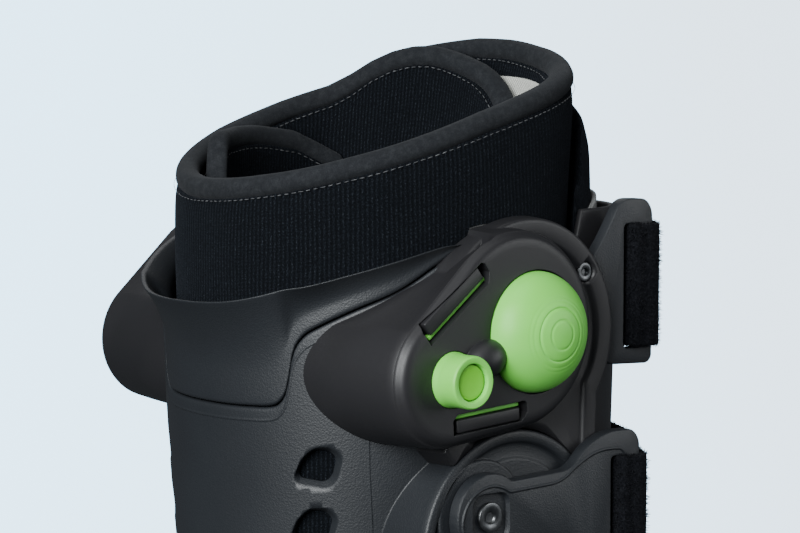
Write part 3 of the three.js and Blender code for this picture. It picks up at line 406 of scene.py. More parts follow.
# Rear shell. One stiff moulding from the heel cup up both sides of the calf, open in
# front and over the foot, with a floor on the sole, grained outside, and vents beside
# the heel cord. A round plate on each side carries the rivet of the lower clip.
SHELL_WALL = 3.5
WALL_REACH = 95
REAR_POWER = 2.15
WALL_POWER = 4
SHELL_LOW = SOLE_HEIGHT + GAP
SHELL_FLOOR = 4
HALF_COLUMNS = 130
LEG_ROWS = ((27.6, 68.0, 51.75, 63.65), (86.25, 67.2, 52.5, 62.3), (138, 68.8, 57.75, 60.3),
            (189.75, 72.8, 64.5, 58.96), (241.5, 77.2, 71.25, 58.3), (300.15, 80, 75, 58.3),
            (345, 80, 75, 58.3), (420.9, 80, 73.5, 67))
FRONT_ROWS = ((54, 204), (56.9, 191.8), (59.3, 159.1), (67.3, 126.5), (81.1, 97.9), (103.5, 73.4),
              (134.6, 57.1), (172.5, 45.9), (220.8, 36.7), (269.1, 32.6), (320.9, 31.6), (345, 31.6))
SEAM_ROWS = ((-80, 287.4), (-78, 287.7), (-75, 288.4), (-73.6, 290.2), (-72.4, 295), (-71.4, 306),
             (-70.3, 310.8), (-68, 314.6), (-59.2, 321.2), (-46, 328.4), (-33.6, 337.1), (-24, 341.9),
             (20.4, 340.9), (31.6, 321))


def power(value, exponent):
    """Power that keeps the sign."""
    return math.copysign(abs(value) ** exponent, value)


def leg_half(x, z, grow):
    """Half width of the leg column at a place along it."""
    rear, half, _ = curve_at(LEG_ROWS, z)
    reach, bend = (rear + grow, REAR_POWER) if x < 0 else (WALL_REACH + grow, WALL_POWER)
    return (half + grow) * max(0, 1 - abs(x / reach) ** bend) ** (1 / bend)


def side_line(z, grow, foot):
    """Near half of the shell's plan at a height, evenly spaced from the heel to the front border."""
    rear = curve_at(LEG_ROWS, z)[0] + grow
    front = line_at(FRONT_ROWS, z)[0]
    if front >= FOOT_TOE:
        front = FOOT_TOE + grow
    path = []
    for step in range(301):
        x = -rear + (front + rear) * (1 - math.cos(math.pi * step / 300)) / 2
        y = leg_half(x, z, grow)
        if z < 110:
            wide = line_at(foot, x)[0] if x > foot[0][0] else 0
            wide *= 1 - max(0, z - 85) / 100
            y = (y + wide + math.sqrt((y - wide) ** 2 + 4)) / 2 - 1 if min(y, wide) > 0 else max(y, wide)
        path.append((x, y))
    if front > FOOT_TOE - 5:
        path[-1] = (front, 0)
    lengths = [0.0]
    for (x1, y1), (x2, y2) in zip(path, path[1:]):
        lengths.append(lengths[-1] + math.hypot(x2 - x1, y2 - y1))
    result = []
    k = 0
    for column in range(HALF_COLUMNS + 1):
        goal = lengths[-1] * column / HALF_COLUMNS
        while k < len(lengths) - 2 and lengths[k + 1] < goal:
            k += 1
        t = (goal - lengths[k]) / max(1e-9, lengths[k + 1] - lengths[k])
        result.append((path[k][0] + t * (path[k + 1][0] - path[k][0]),
                       path[k][1] + t * (path[k + 1][1] - path[k][1])))
    return result


shell_heights = [SHELL_LOW, 33, 36, 40, 45, 50, 53.9, 55.5, 57, 58.2, 59.5, 61, 63, 65, 67.5, 70, 73, 76, 79,
                 82, 86, 90, 95, 100, 105, 110, 116, 122, 128, 134, *range(140, 205, 8), *range(204, 286, 3),
                 *range(286, 362, 6)]


def foot_table(grow):
    """Half widths of the foot along x."""
    near = [(p.x, -p.y) for p in foot_outline(grow) if p.y <= 0]
    return sorted(near)


shell_lines = {}
for grow in (0, -SHELL_WALL):
    table = foot_table(grow)
    shell_lines[grow] = [side_line(z, grow, table) for z in shell_heights]


def shell_point(grow, column, z):
    """Point of the shell's face; columns run from the near front border round the heel to the far one."""
    k = max(i for i in range(len(shell_heights) - 1) if shell_heights[i] <= z or i == 0)
    t = (z - shell_heights[k]) / (shell_heights[k + 1] - shell_heights[k])
    index = abs(column)
    (x1, y1), (x2, y2) = shell_lines[grow][k][index], shell_lines[grow][k + 1][index]
    y = y1 + t * (y2 - y1)
    return Vector((x1 + t * (x2 - x1), y if column > 0 else -y, z))


def slab(name, outer, inner, edge=0.8, square=0.75, bottom=True, ends=True, closed_rows=(), steps=4,
         smooth=None):
    """Wall between two faces, given as columns of points from the bottom up, with rounded borders."""
    turns = [math.pi / 2 * k / steps for k in range(steps + 1)]

    def section(column, spread, shift):
        middles, halves = [], []
        for j, (a, b) in enumerate(zip(outer[column], inner[column])):
            middle, half = (Vector(a) + Vector(b)) / 2, (Vector(a) - Vector(b)) / 2
            if j not in closed_rows:
                beside = 1 if column == 0 else column - 1
                other = (Vector(outer[beside][j]) + Vector(inner[beside][j])) / 2
                away = (middle - other).normalized()
                if column not in (0, len(outer) - 1):
                    away = Vector((0, 0, 0))
                middle = middle + away * half.length * edge * shift
                half = half * spread
            middles.append(middle)
            halves.append(half)

        def border(level, inward, reverse):
            along = (middles[level] - middles[inward]).normalized()
            points = []
            for k in range(1, 2 * steps):
                turn = math.pi * k / (2 * steps)
                if reverse:
                    turn = math.pi - turn
                points.append(middles[level] + halves[level] * power(math.cos(turn), square)
                              + along * halves[level].length * edge * math.sin(turn) ** square)
            return points

        ring = [m + h for m, h in zip(middles, halves)]
        ring += border(-1, -2, False)
        ring += [m - h for m, h in zip(reversed(middles), reversed(halves))]
        if bottom:
            ring += border(0, 1, True) + ring[:1]
        return ring

    rings = []
    if ends:
        rings += [section(0, power(math.cos(t), square), power(math.sin(t), square)) for t in turns[:0:-1]]
    rings += [section(i, 1, 0) for i in range(len(outer))]
    if ends:
        rings += [section(len(outer) - 1, power(math.cos(t), square), power(math.sin(t), square))
                  for t in turns[1:]]
    return skin(name, rings, smooth=smooth)


columns = range(-HALF_COLUMNS, HALF_COLUMNS + 1)
SEAM_LEVEL = 330
column_places = {c: shell_point(0, c, SEAM_LEVEL).x for c in columns}
tops = {c: curve_at(SEAM_ROWS, x)[0] - 1.3 for c, x in column_places.items()}
floor_shares = (0, 0.2, 0.4, 0.6, 0.8, 0.93)
level_marks = [z for z in shell_heights if z < 245]


def shell_column(grow, column):
    low = SHELL_LOW if grow == 0 else SHELL_LOW + SHELL_FLOOR
    base = shell_point(grow, column, SHELL_LOW)
    points = [(base.x * (0.8 + 0.2 * s), base.y * s, low) for s in floor_shares]
    points += [shell_point(grow, column, max(z, low)) for z in level_marks]
    last = level_marks[-1]
    return points + [shell_point(grow, column, last + (tops[column] - last) * step / 30) for step in range(1, 31)]


closed = [i for i in range(len(floor_shares) + len(level_marks))
          if i < len(floor_shares) or level_marks[i - len(floor_shares)] < 54]
shell = slab("rear_shell", [shell_column(0, c) for c in columns],
             [shell_column(-SHELL_WALL, c) for c in columns], bottom=False, closed_rows=closed, smooth=50)

VENT_X = -65
VENT_HEIGHTS = (268, 247, 226)
VENT_MOUTH = ((-9.9, -3.4), (-6.7, 3.6), (-1.8, 7.6), (5.5, 7.8), (9.8, 4.4), (7.4, -4.7), (3.7, -7.8),
              (-8.5, -6.2))
VENT_LEVELS = ((3.0, 1.22, 0.8), (0.6, 1.06, 0.2), (0, 1.0, 0), (-1.2, 0.86, -0.9), (-3.0, 0.70, -2.0),
               (-7.0, 0.68, -2.1))  # height over the face, scale of the mouth, shift


def prism(name, outline, y1, y2, wide=1.0):
    """Block along y from an outline in the side view; the far end may be wider."""
    middle = Vector((sum(p[0] for p in outline), sum(p[1] for p in outline))) / len(outline)
    rings = []
    for y, scale in ((y1, 1.0), (y2, wide)):
        ring = [(middle.x + (x - middle.x) * scale, y, middle.y + (z - middle.y) * scale) for x, z in outline]
        rings.append(ring + ring[:1])
    return skin(name, rings, fill=True, smooth=30)


def vent(side, height):
    """Funnel square to the wall: wide at the face, narrower and shifted to the rear inside."""
    half = leg_half(VENT_X, height, 0)
    rear = curve_at(LEG_ROWS, height)[0]
    out = Vector((-(abs(VENT_X) / rear) ** 1.15 / rear, -(half / rear) ** 1.15 / rear, 0)).normalized()
    along = Vector((-out.y, out.x, 0))
    outline = rounded(VENT_MOUTH, 2.6, 4)
    rings = []
    for depth, scale, shift in VENT_LEVELS:
        ring = []
        for u, v in outline:
            spot = Vector((VENT_X, -half, height)) + out * depth + along * (u * scale + shift)
            spot.z += v * scale - shift * 0.45
            ring.append((spot.x, -side * spot.y, spot.z))
        rings.append(ring + ring[:1])
    return skin("vent", rings, fill=True, smooth=30)


cut(shell, *[vent(side, height) for side in (-1, 1) for height in VENT_HEIGHTS])

HUBS = {-1: ((-9, 240), 40), 1: ((2, 240), 28)}
HUB_FACE = 79.4
RIVETS = {-1: (-23.4, 252.3), 1: (-6.4, 252.3)}
RIVET_RADIUS = 5.2


def ring_round(centre, radius, count=96):
    """Circle in the side view."""
    return [(centre[0] + radius * math.cos(2 * math.pi * k / count),
             centre[1] + radius * math.sin(2 * math.pi * k / count)) for k in range(count)]


def boss(name, centre, levels, side=-1, sunk=1.5, smooth=None):
    """Raised form on the shell: outlines in the side view from its foot to the middle of its face."""
    rings = []

    def put(outline, height):
        ring = []
        for x, z in outline:
            foot = leg_half(x, z, 0) - sunk
            ring.append((x, side * max(foot, height), z))
        rings.append(ring + ring[:1])

    def shrunk(outline, share):
        return [(centre[0] + (x - centre[0]) * share, centre[1] + (z - centre[1]) * share) for x, z in outline]

    for share in (0.0, 0.35, 0.7):
        put(shrunk(levels[0][0], share), 0)
    for outline, height in levels:
        put(outline, height)
    for share in (0.7, 0.4, 0.0):
        put(shrunk(levels[-1][0], share), levels[-1][1])
    return skin(name, rings, smooth=smooth)


HUB_LEVELS = ((0.6, 0), (0.3, 74), (0, 76), (0, HUB_FACE - 0.9), (-0.35, HUB_FACE - 0.25),
              (-1, HUB_FACE), (-3.4, HUB_FACE), (-4, HUB_FACE - 0.3), (-4.3, HUB_FACE - 1),
              (-4.8, HUB_FACE - 1.5), (-5.6, HUB_FACE - 1.6), (-9, HUB_FACE - 1.6), (-9.3, HUB_FACE - 1.5),
              (-9.8, HUB_FACE - 0.9), (-10.6, HUB_FACE - 0.8))
SEAT_RADIUS = 19
SEAT_LEVELS = ((0, 76), (0, HUB_FACE - 0.6), (-0.3, HUB_FACE - 0.1), (-1, HUB_FACE))
hubs = []
for side in (-1, 1):
    for name, (centre, radius), levels in (("hub", HUBS[side], HUB_LEVELS),
                                           ("hub_seat", (RIVETS[side], SEAT_RADIUS), SEAT_LEVELS)):
        outlines = [(ring_round(centre, radius + grow), height) for grow, height in levels]
        hubs.append(boss(name, centre, outlines, side, smooth=60))


def bead(name, path, radius, closed=False, count=8):
    """Thin round bead along a line."""
    rings = []
    last = len(path) - 1
    for i, point in enumerate(path):
        before = path[i - 1 if i or closed else 0]
        after = path[(i + 1) % len(path) if closed else min(i + 1, last)]
        along = (Vector(after) - Vector(before)).normalized()
        side = along.cross(Vector((0.02, 0.01, 1))).normalized()
        up = side.cross(along)
        here = radius * (0.2 if not closed and i in (0, last) else 1)
        rings.append([Vector(point) + side * here * math.cos(2 * math.pi * k / count)
                      + up * here * math.sin(2 * math.pi * k / count) for k in range(count + 1)])
    if closed:
        rings.append(rings[0])
    return skin(name, rings, fill=not closed)


MOULD_COLUMN = 54


def mould_line(column, levels):
    """Fine raised line where the two halves of the mould met."""
    return bead("mould_line", [shell_point(0, column, z) * 0.9985 for z in levels], 0.28, count=6)


seam_path = [shell_point(0, c, tops[c] - 3) for c, x in column_places.items() if x < -26]
seam_step = bead("seam_step", [Vector((p.x * 0.9965, p.y * 0.9965, p.z)) for p in seam_path], 0.45)
join(shell, *hubs, *[mould_line(c, range(90, 286, 4)) for c in (-MOULD_COLUMN, MOULD_COLUMN)], seam_step)
finish_piece(shell, plastic, "shell_plastic", "boot_shell")

# Calf collar. A second moulding of the same plastic, riveted inside the shell behind a
# stepped seam, so that a dark joint shows; its thin lip flares away from the liner.
LIP_ROWS = ((-80, 324, 11), (-78, 325, 10.5), (-74, 327.8, 9.0), (-71.2, 329.8, 8.0), (-68, 330.9, 6.8),
            (-59.2, 334.7, 4.6), (-46, 339.5, 3.04), (-33.6, 343.4, 1.6), (-24, 344.8, 0.6))
COLLAR_SHARES = (0, 0.08, 0.16, 0.24, 0.32, 0.4, 0.5, 0.58, 0.66, 0.74, 0.81, 0.87, 0.92, 0.96, 1.0)


def collar_column(column, face):
    spot = shell_point(0, column, SEAM_LEVEL)
    low = curve_at(SEAM_ROWS, spot.x)[0] + 1.9
    high, flare = curve_at(LIP_ROWS, spot.x)
    high -= 0.8
    outward = Vector((spot.x / 80**2, spot.y / 75**2, 0)).normalized()
    points = []
    for share in COLLAR_SHARES:
        z = low + (high - low) * share
        reach = flare * max(0, (share - 0.3) / 0.7) ** 1.9
        wall = SHELL_WALL - 1.6 * share
        point = shell_point(0, column, z)
        points.append(point + outward * (reach - (wall if face == "inner" else 0)))
    return points


collar_columns = [c for c, x in column_places.items() if x < -25]
collar = slab("calf_collar_panel", [collar_column(c, "outer") for c in collar_columns],
              [collar_column(c, "inner") for c in collar_columns], smooth=60)
join(collar, mould_line(-MOULD_COLUMN, range(292, 316, 3)))
finish_piece(collar, plastic, "shell_plastic", "calf_collar")

# Pump housing. A smooth dark moulding on each side of the calf: a flange with a stepped
# rim, and on it a raised pod. The near pod holds the bulb and the valve and has two
# slanted slots; the far one is plain.
POD_FACE = 88
VALVE = (-43.6, 301)
BULB = (-6.6, 314.2)
BULB_RADIUS = 20.6
POD_VALVE_RADIUS = 22.5
POD_BULB = (-13, 315)
POD_BULB_RADIUS = 33
FLANGE = (-2, 312)
FLANGE_RADIUS = 40
FLANGE_FACE = 79.4
SCREW = (25, 332)
SCREW_RADIUS = 3.4
SCREW_DEEP = 2.4
SLOTS = {"upper": (-42.0, 326.2, 34, 7.4, 37.5), "lower": (-27.2, 286.9, 33, 6.8, 4)}
SLOT_DEPTH = 4.5


def pill(first, radius1, second, radius2, count=48):
    """Outline round two circles and their outer tangents."""
    span = math.dist(first, second)
    lean = math.atan2(second[1] - first[1], second[0] - first[0])
    spread = math.acos((radius1 - radius2) / span)
    turns = [(second, radius2, lean - spread + 2 * spread * k / count) for k in range(count + 1)]
    turns += [(first, radius1, lean + spread + (2 * math.pi - 2 * spread) * k / count)
              for k in range(count + 1)]
    return [(c[0] + r * math.cos(t), c[1] + r * math.sin(t)) for c, r, t in turns]


def pod_outline(grow, drop, height):
    """Outline of the pod, drawn out to the rear at its foot and held under the seam there."""
    rear = (VALVE[0] - drop * 0.12, VALVE[1])
    outline = pill(rear, POD_VALVE_RADIUS + grow, POD_BULB, POD_BULB_RADIUS + grow)
    clear = max(0, height - 74) * 0.5 - 1.3
    return [(x, min(z, curve_at(SEAM_ROWS, x)[0] + clear) if x < -24 else z) for x, z in outline]


def flange_outline(grow, side):
    """Outline of the flange; the near one reaches down to the round plate."""
    arc = [(FLANGE[0] + FLANGE_RADIUS * math.cos(math.radians(t)),
            FLANGE[1] + FLANGE_RADIUS * math.sin(math.radians(t))) for t in range(-35, 216, 3)]
    deep = 12 if side < 0 else 0
    arc += [(-38, 280), (-40, 275), (-36, 270.5), (-30, 266), (-15, 266 - deep * 0.3), (0, 266 - deep * 0.6),
            (15, 266 - deep), (28.4, 266 - deep), (30.1, 267.6 - deep), (30.4, 278), (30.8, 284)]
    scale = 1 + grow / FLANGE_RADIUS
    return [(FLANGE[0] + (x - FLANGE[0]) * scale, FLANGE[1] + (z - FLANGE[1]) * scale) for x, z in arc]


POD_LEVELS = ((2.3, 7, 0), (2.1, 6.6, 62), (1.9, 6, 66), (1.7, 5.4, 70), (1.5, 4.9, 74), (1.2, 4.3, 78),
              (1.0, 3.8, 81.5), (0.8, 3.3, 83.6), (0.45, 2.8, 84.6), (-0.05, 2.2, 84.9), (-0.3, 1.5, 85.3),
              (-0.7, 0.9, 86.2), (-1.3, 0.4, 87.1), (-2.2, 0, 87.7), (-3.4, 0, 87.95), (-5, 0, POD_FACE))
FLANGE_LEVELS = ((0.4, 0), (0, FLANGE_FACE - 1.4), (-0.25, FLANGE_FACE - 0.6), (-0.8, FLANGE_FACE - 0.1),
                 (-1.6, FLANGE_FACE), (-6.6, FLANGE_FACE), (-7.3, FLANGE_FACE - 0.2),
                 (-7.8, FLANGE_FACE - 0.8), (-8.3, FLANGE_FACE - 1.3), (-9, FLANGE_FACE - 1.5))


def slot_outline(x, z, length, width, lean, grow=0.0):
    turn = math.radians(lean)
    a, b = length / 2 + grow, width / 2 + grow
    corners = [(-a, -b), (a - 2.6, -b), (a, -b + 2.8), (a, b - 1.0), (a - 1.0, b), (-a + 2.0, b),
               (-a, b - 2.0)]
    return [(x + u * math.cos(turn) - v * math.sin(turn), z + u * math.sin(turn) + v * math.cos(turn))
            for u, v in corners]


def housing(side):
    """Pod and flange of one side, with room for the round plate and the screw."""
    levels = [(pod_outline(grow, drop, height), height) for grow, drop, height in POD_LEVELS]
    pod = boss("pod", POD_BULB, levels, side, smooth=50)
    levels = [(flange_outline(grow, side), height) for grow, height in FLANGE_LEVELS]
    flange = boss("flange", FLANGE, levels, side, smooth=50)
    centre, radius = HUBS[side]
    cut(flange, prism("plate_room", ring_round(centre, radius + GAP + 0.3), side * 40, side * (FLANGE_FACE + 2)))
    cut(flange, prism("screw_hole", ring_round(SCREW, SCREW_RADIUS + GAP, 32), side * (FLANGE_FACE - SCREW_DEEP),
                      side * (FLANGE_FACE + 1)))
    return pod, flange


pod, flange = housing(-1)
pockets = [prism("pocket", slot_outline(*slot), -(POD_FACE - SLOT_DEPTH), -(POD_FACE + 1))
           for slot in SLOTS.values()]
pockets.append(prism("bulb_seat", ring_round(BULB, BULB_RADIUS + 0.5, 64), -(POD_FACE - 4), -(POD_FACE + 1)))
pockets.append(prism("valve_seat", ring_round(VALVE, 9.6, 48), -(POD_FACE - 2), -(POD_FACE + 1)))
cut(pod, *pockets)
bpy.ops.object.shade_smooth_by_angle(angle=math.radians(35))
MOUND = (-30.5, 306.5)
MOUND_SIZE = (9.0, 6.6, 6.5)
mound_lean = math.radians(22)
channel = []
for k in range(13):
    turn = math.pi * k / 12
    ring = []
    for m in range(33):
        around = 2 * math.pi * m / 32
        u = MOUND_SIZE[0] * math.sin(turn) * math.cos(around)
        v = MOUND_SIZE[1] * math.sin(turn) * math.sin(around)
        ring.append((MOUND[0] + u * math.cos(mound_lean) - v * math.sin(mound_lean),
                     -POD_FACE - MOUND_SIZE[2] * math.cos(turn),
                     MOUND[1] + u * math.sin(mound_lean) + v * math.cos(mound_lean)))
    channel.append(ring)
join(pod, flange, skin("air_channel", channel))
housing_plastic = Finish("housing_plastic", (0.0135, 0.0132, 0.0146), 0.42, Specular_IOR_Level=0.38)
satin = housing_plastic.grain(2200, 3.0)
cloudy = housing_plastic.grain(24, 2.0)
housing_plastic.set("Roughness", 0.36 + 0.10 * housing_plastic.grain(700, 2.0) + 0.06 * cloudy)
housing_plastic.set("Base Color", housing_plastic.shades(cloudy, (0.0115, 0.0114, 0.0128),
                                                         (0.0160, 0.0156, 0.0172)))
housing_edges = housing_plastic.node("ShaderNodeBevel", {"samples": 4}, {"Radius": 0.0004})
housing_plastic.set("Normal", housing_plastic.bump(satin, 0.00006, 0.30, housing_edges))
pod.name = "pump_housing_near"
finish_piece(pod, housing_plastic, "housing_plastic", "pump_housing")
far_pod, far_flange = housing(1)
join(far_pod, far_flange)
far_pod.name = "pump_housing_far"
finish_piece(far_pod, housing_plastic, "housing_plastic", "far_housing")

# Latches in the slots. The housing snaps to the pump core with two dark bars; beside each
# bar a strip of the green rubber core shows.
cores = {}
for label, up in (("upper", 1), ("lower", -1)):
    x, z, length, width, lean = SLOTS[label]
    turn = math.radians(lean)
    bars = {}
    for part, shift, wide, depth, short, rounding in (("latch", up * 0.9, width * 0.66, 0.9, 5, 0.55),
                                                      ("core", -up * (width * 0.33), width * 0.20, 2.2, 3.5, 0.3)):
        mx, mz = x - shift * math.sin(turn), z + shift * math.cos(turn)
        half = (length - short) / 2
        bars[part] = box(f"{part}_{label}_bar", (mx - half, -(POD_FACE - depth), mz - wide / 2),
                         (mx + half, -(POD_FACE - SLOT_DEPTH + 0.2), mz + wide / 2), turn=lean, rounding=rounding)
    finish_piece(bars["latch"], housing_plastic, "housing_plastic", f"latch_{label}")
    cores[label] = bars["core"]

# Pump bulb, release valve and core. Moulded green rubber: a dome with fine rings round
# its middle, a short tube with a sunk button that lets the air out, and the core strips.
VALVE_RADIUS = 8.8
VALVE_LENGTH = 10
VALVE_BORE = 6.3
BULB_RINGS = ((4.9, 0.32, 0.26), (9.0, 0.34, 0.34), (11.2, 0.3, 0.12), (12.6, 0.3, 0.08))  # radius, width, depth


def turned(name, pairs, centre, side=-1, count=96, smooth=35):
    """Turned piece on an axis along y, from pairs of radius and distance out."""
    rings = [[(centre[0] + radius * math.cos(2 * math.pi * k / count), side * out,
               centre[1] + radius * math.sin(2 * math.pi * k / count)) for k in range(count + 1)]
             for radius, out in pairs]
    return skin(name, rings, smooth=smooth)


bulb_base = POD_FACE - 4 + GAP
bulb_pairs = [(0, bulb_base), (BULB_RADIUS, bulb_base), (BULB_RADIUS, bulb_base + 2.4)]
for k in range(1, 91):
    turn = math.radians(k)
    radius = BULB_RADIUS * math.cos(turn)
    out = bulb_base + 2.4 + 14.5 * math.sin(turn) ** 0.97
    for ring, wide, deep in BULB_RINGS:
        out -= deep * math.exp(-((radius - ring) / wide) ** 2)
    bulb_pairs.append((radius, out))
bulb = turned("pump_bulb_dome", bulb_pairs, BULB, smooth=60)
green = Finish("green_rubber", (0.17, 0.62, 0.085), 0.44, Subsurface_Weight=0.12,
               Subsurface_Radius=(0.004, 0.006, 0.002), Subsurface_Scale=0.5, Specular_IOR_Level=0.32)
tint = green.grain(60, 2.0)
green.set("Base Color", green.shades(tint, (0.160, 0.60, 0.075), (0.180, 0.64, 0.095)))
green.set("Roughness", 0.42 + 0.08 * green.grain(500, 2.0))
green.set("Normal", green.bump(green.grain(1600, 3.0), 0.00004, 0.25))
finish_piece(bulb, green, "green_rubber", "pump_bulb")
for label, core in cores.items():
    finish_piece(core, green, "green_rubber", f"pump_core_{label}")

valve_face = POD_FACE + VALVE_LENGTH
valve_floor = valve_face - 1.4 - 2.5 - 2 - 2 * GAP
valve = turned("valve_tube", [
    (0, POD_FACE - 2 + GAP), (VALVE_RADIUS + 0.5, POD_FACE - 2 + GAP), (VALVE_RADIUS + 0.5, POD_FACE + 0.3),
    (VALVE_RADIUS + 0.15, POD_FACE + 1.2), (VALVE_RADIUS, POD_FACE + 3), (VALVE_RADIUS, valve_face - 0.9),
    (VALVE_RADIUS - 0.15, valve_face - 0.35), (VALVE_RADIUS - 0.55, valve_face),
    (VALVE_BORE + 0.55, valve_face), (VALVE_BORE + 0.15, valve_face - 0.2), (VALVE_BORE, valve_face - 0.6),
    (VALVE_BORE, valve_floor), (0, valve_floor)], VALVE)
finish_piece(valve, green, "green_rubber", "valve_collar")
button_top = valve_face - 1.4
button_radius = VALVE_BORE - GAP - 0.1
button = turned("valve_button_cap", [
    (0, button_top - 2.5), (button_radius, button_top - 2.5), (button_radius, button_top - 0.5),
    (button_radius - 0.2, button_top - 0.12), (button_radius - 0.7, button_top),
    (button_radius - 1.4, button_top - 0.06), (0, button_top - 0.12)], VALVE)
green_deep = Finish("green_rubber_button", (0.16, 0.50, 0.035), 0.5, Specular_IOR_Level=0.3)
green_deep.set("Base Color", green_deep.shades(green_deep.grain(80, 2.0), (0.135, 0.52, 0.020),
                                               (0.165, 0.57, 0.035)))
green_deep.set("Normal", green_deep.bump(green_deep.grain(1600, 3.0), 0.00004, 0.25))
finish_piece(button, green_deep, "green_rubber", "valve_button", body="button")

# Flange screws. A small steel screw with a round socket, sunk in each flange.
steel = Finish("dark_steel", (0.10, 0.105, 0.11), 0.35, Metallic=1.0)
steel.set("Base Color", steel.shades(steel.grain(300, 2.0), (0.085, 0.09, 0.095), (0.16, 0.165, 0.17)))
steel.set("Roughness", 0.28 + 0.16 * steel.grain(1200, 3.0))
screw_top = FLANGE_FACE - 0.7
for label, side in (("near", -1), ("far", 1)):
    screw = turned(f"screw_{label}", [
        (0, FLANGE_FACE - SCREW_DEEP + GAP), (SCREW_RADIUS, FLANGE_FACE - SCREW_DEEP + GAP),
        (SCREW_RADIUS, screw_top - 0.5),
        (SCREW_RADIUS - 0.2, screw_top - 0.1), (SCREW_RADIUS - 0.6, screw_top), (1.7, screw_top),
        (1.4, screw_top - 0.2), (1.3, screw_top - 1), (0, screw_top - 1)], SCREW, side, count=48)
    finish_piece(screw, steel, "steel", f"flange_screw_{label}")

# Foot part of the liner. A padded bootee of black ribbed knit over foam, inside the
# shell, open at the toes. It swells a little under its own foam, so it is simulated.
def soft_copy(name, node, voxel, pressure, cap, rounds=2, frames=12):
    """Copy of a soft solid, remeshed, swollen as cloth by no more than a cap, and smoothed."""
    bpy.ops.object.select_all(action="DESELECT")
    source = nodes[node]
    piece = bpy.data.objects.new(name, source.data.copy())
    bpy.context.scene.collection.objects.link(piece)
    piece.data.name = name
    close_up(piece)
    modify(piece, "REMESH", mode="VOXEL", voxel_size=voxel * MM)
    modify(piece, "SMOOTH", factor=0.5, iterations=4)
    rest = [v.co.copy() for v in piece.data.vertices]
    made = piece.modifiers.new("cloth", "CLOTH")
    made.settings.quality = 4
    made.settings.use_pressure = True
    made.settings.uniform_pressure_force = pressure
    made.settings.effector_weights.gravity = 0
    made.settings.tension_stiffness = 12
    made.point_cache.frame_start = 1
    made.point_cache.frame_end = frames
    for step in range(1, frames + 1):
        bpy.context.scene.frame_set(step)
    swollen = piece.evaluated_get(bpy.context.evaluated_depsgraph_get())
    made_mesh = bpy.data.meshes.new_from_object(swollen)
    moved = [v.co.copy() for v in made_mesh.vertices]
    piece.modifiers.remove(made)
    bpy.data.meshes.remove(made_mesh)
    bpy.context.scene.frame_set(1)
    for vertex, old, new in zip(piece.data.vertices, rest, moved):
        away = new - old
        if away.length > cap * MM:
            away = away.normalized() * cap * MM
        vertex.co = old + away
    modify(piece, "SMOOTH", factor=0.5, iterations=rounds)
    bpy.ops.object.shade_smooth()
    return piece


KNIT_LOOK = {"color": (0.006, 0.0078, 0.0108), "roughness": 0.93, "Sheen_Weight": 0.04, "Sheen_Roughness": 0.45,
             "Sheen_Tint": (0.30, 0.36, 0.46), "Specular_IOR_Level": 0.08}
knit = Finish("knit_fabric", **KNIT_LOOK)
RIB_PITCH = 0.00165
STITCH_PITCH = 0.00125
split = knit.node("ShaderNodeSeparateXYZ", None, {0: knit.cloth()})
ahead, beside = split.output(0), split.output(1)
waver = (knit.grain(160, 2.0) - 0.5) * 0.9
rib = (ahead * (2 * math.pi / RIB_PITCH) + waver).sine()
loops = ((beside * (2 * math.pi / STITCH_PITCH)) + rib.size() * 2.0 + waver * 2).sine()
fuzz = knit.grain(2300, 4.0, 0.65)
height = rib * 0.30 + loops * 0.08 + fuzz * 1.2
# Base colour: fibre tone that varies at random, with painted shade in the rib valleys, a painted highlight on the
# rib crests and painted glints on the lightest flecks of fuzz.
knit.set("Base Color", knit.ramp(rib * 0.07 + fuzz * 0.95 + loops * 0.02, [
    (0.32, (0.0008, 0.0012, 0.0018)), (0.50, (0.0022, 0.0030, 0.0044)), (0.62, (0.0064, 0.0084, 0.0116)),
    (0.74, (0.028, 0.033, 0.040))]))
knit.set("Normal", knit.bump(height, 0.00035, 0.75))

plain_knit = Finish("plain_knit", **KNIT_LOOK)
cell = plain_knit.cells(900)
plain_fuzz = plain_knit.grain(2100, 4.0, 0.65)
# Base colour: fibre tone that varies at random, with painted glints on the lightest flecks of fuzz.
plain_knit.set("Base Color", plain_knit.ramp(plain_fuzz * 0.8 + cell * 0.2, [
    (0.25, (0.0010, 0.0014, 0.0021)), (0.5, (0.0028, 0.0037, 0.0053)), (0.75, (0.016, 0.019, 0.024))]))
plain_knit.set("Normal", plain_knit.bump(plain_fuzz * 0.6 + cell * 0.5, 0.0004, 0.6))

bootee = soft_copy("liner_bootee", "liner_foot", 3.2, 2.0, 1.0)
finish_piece(bootee, plain_knit, "knit_fabric", "liner_foot")

# Wrap of the liner. One thick strip of foam faced with ribbed knit goes round the calf;
# its inner end laps inside its outer end and closes with hook tape.
LINER_WALL = 9
LINER_FOOT = 150.3
LINER_CLEAR = SHELL_WALL + 0.6
RIM_HEIGHT = 389
RIM_SLOPE = 0.335
BINDING_HIGH = 7.8
BINDING_WIDE = 8.6
PAD_CLEAR = 2.65
WRAP_ROWS = (  # turn, share of the way inward, drop under the rim plane
    (-380, 1, 18), (-374, 1, 13.5), (-367.5, 1, 9.5), (-360, 1, 6), (-352, 1, 3.2), (-344, 1, 0.6),
    (-336, 1, -1.8), (-326, 1, -3.3), (-316, 0.95, -3.5), (-306.5, 0.75, -2.2), (-299, 0.5, 0.3),
    (-290.5, 0.2, 2.2), (-275, 0, 1.6), (-250, 0, 0), (-190, 0, -0.5), (-165, 0, -2.2), (-138, 0, -3),
    (-98, 0, -3), (-68, 0, -0.4), (-40, 0, 1.4), (-13, 0, -0.8), (0, 0, -2.6), (12, 0, -3.5), (36, 0, -3.2))
WRAP_INWARD = 13.2


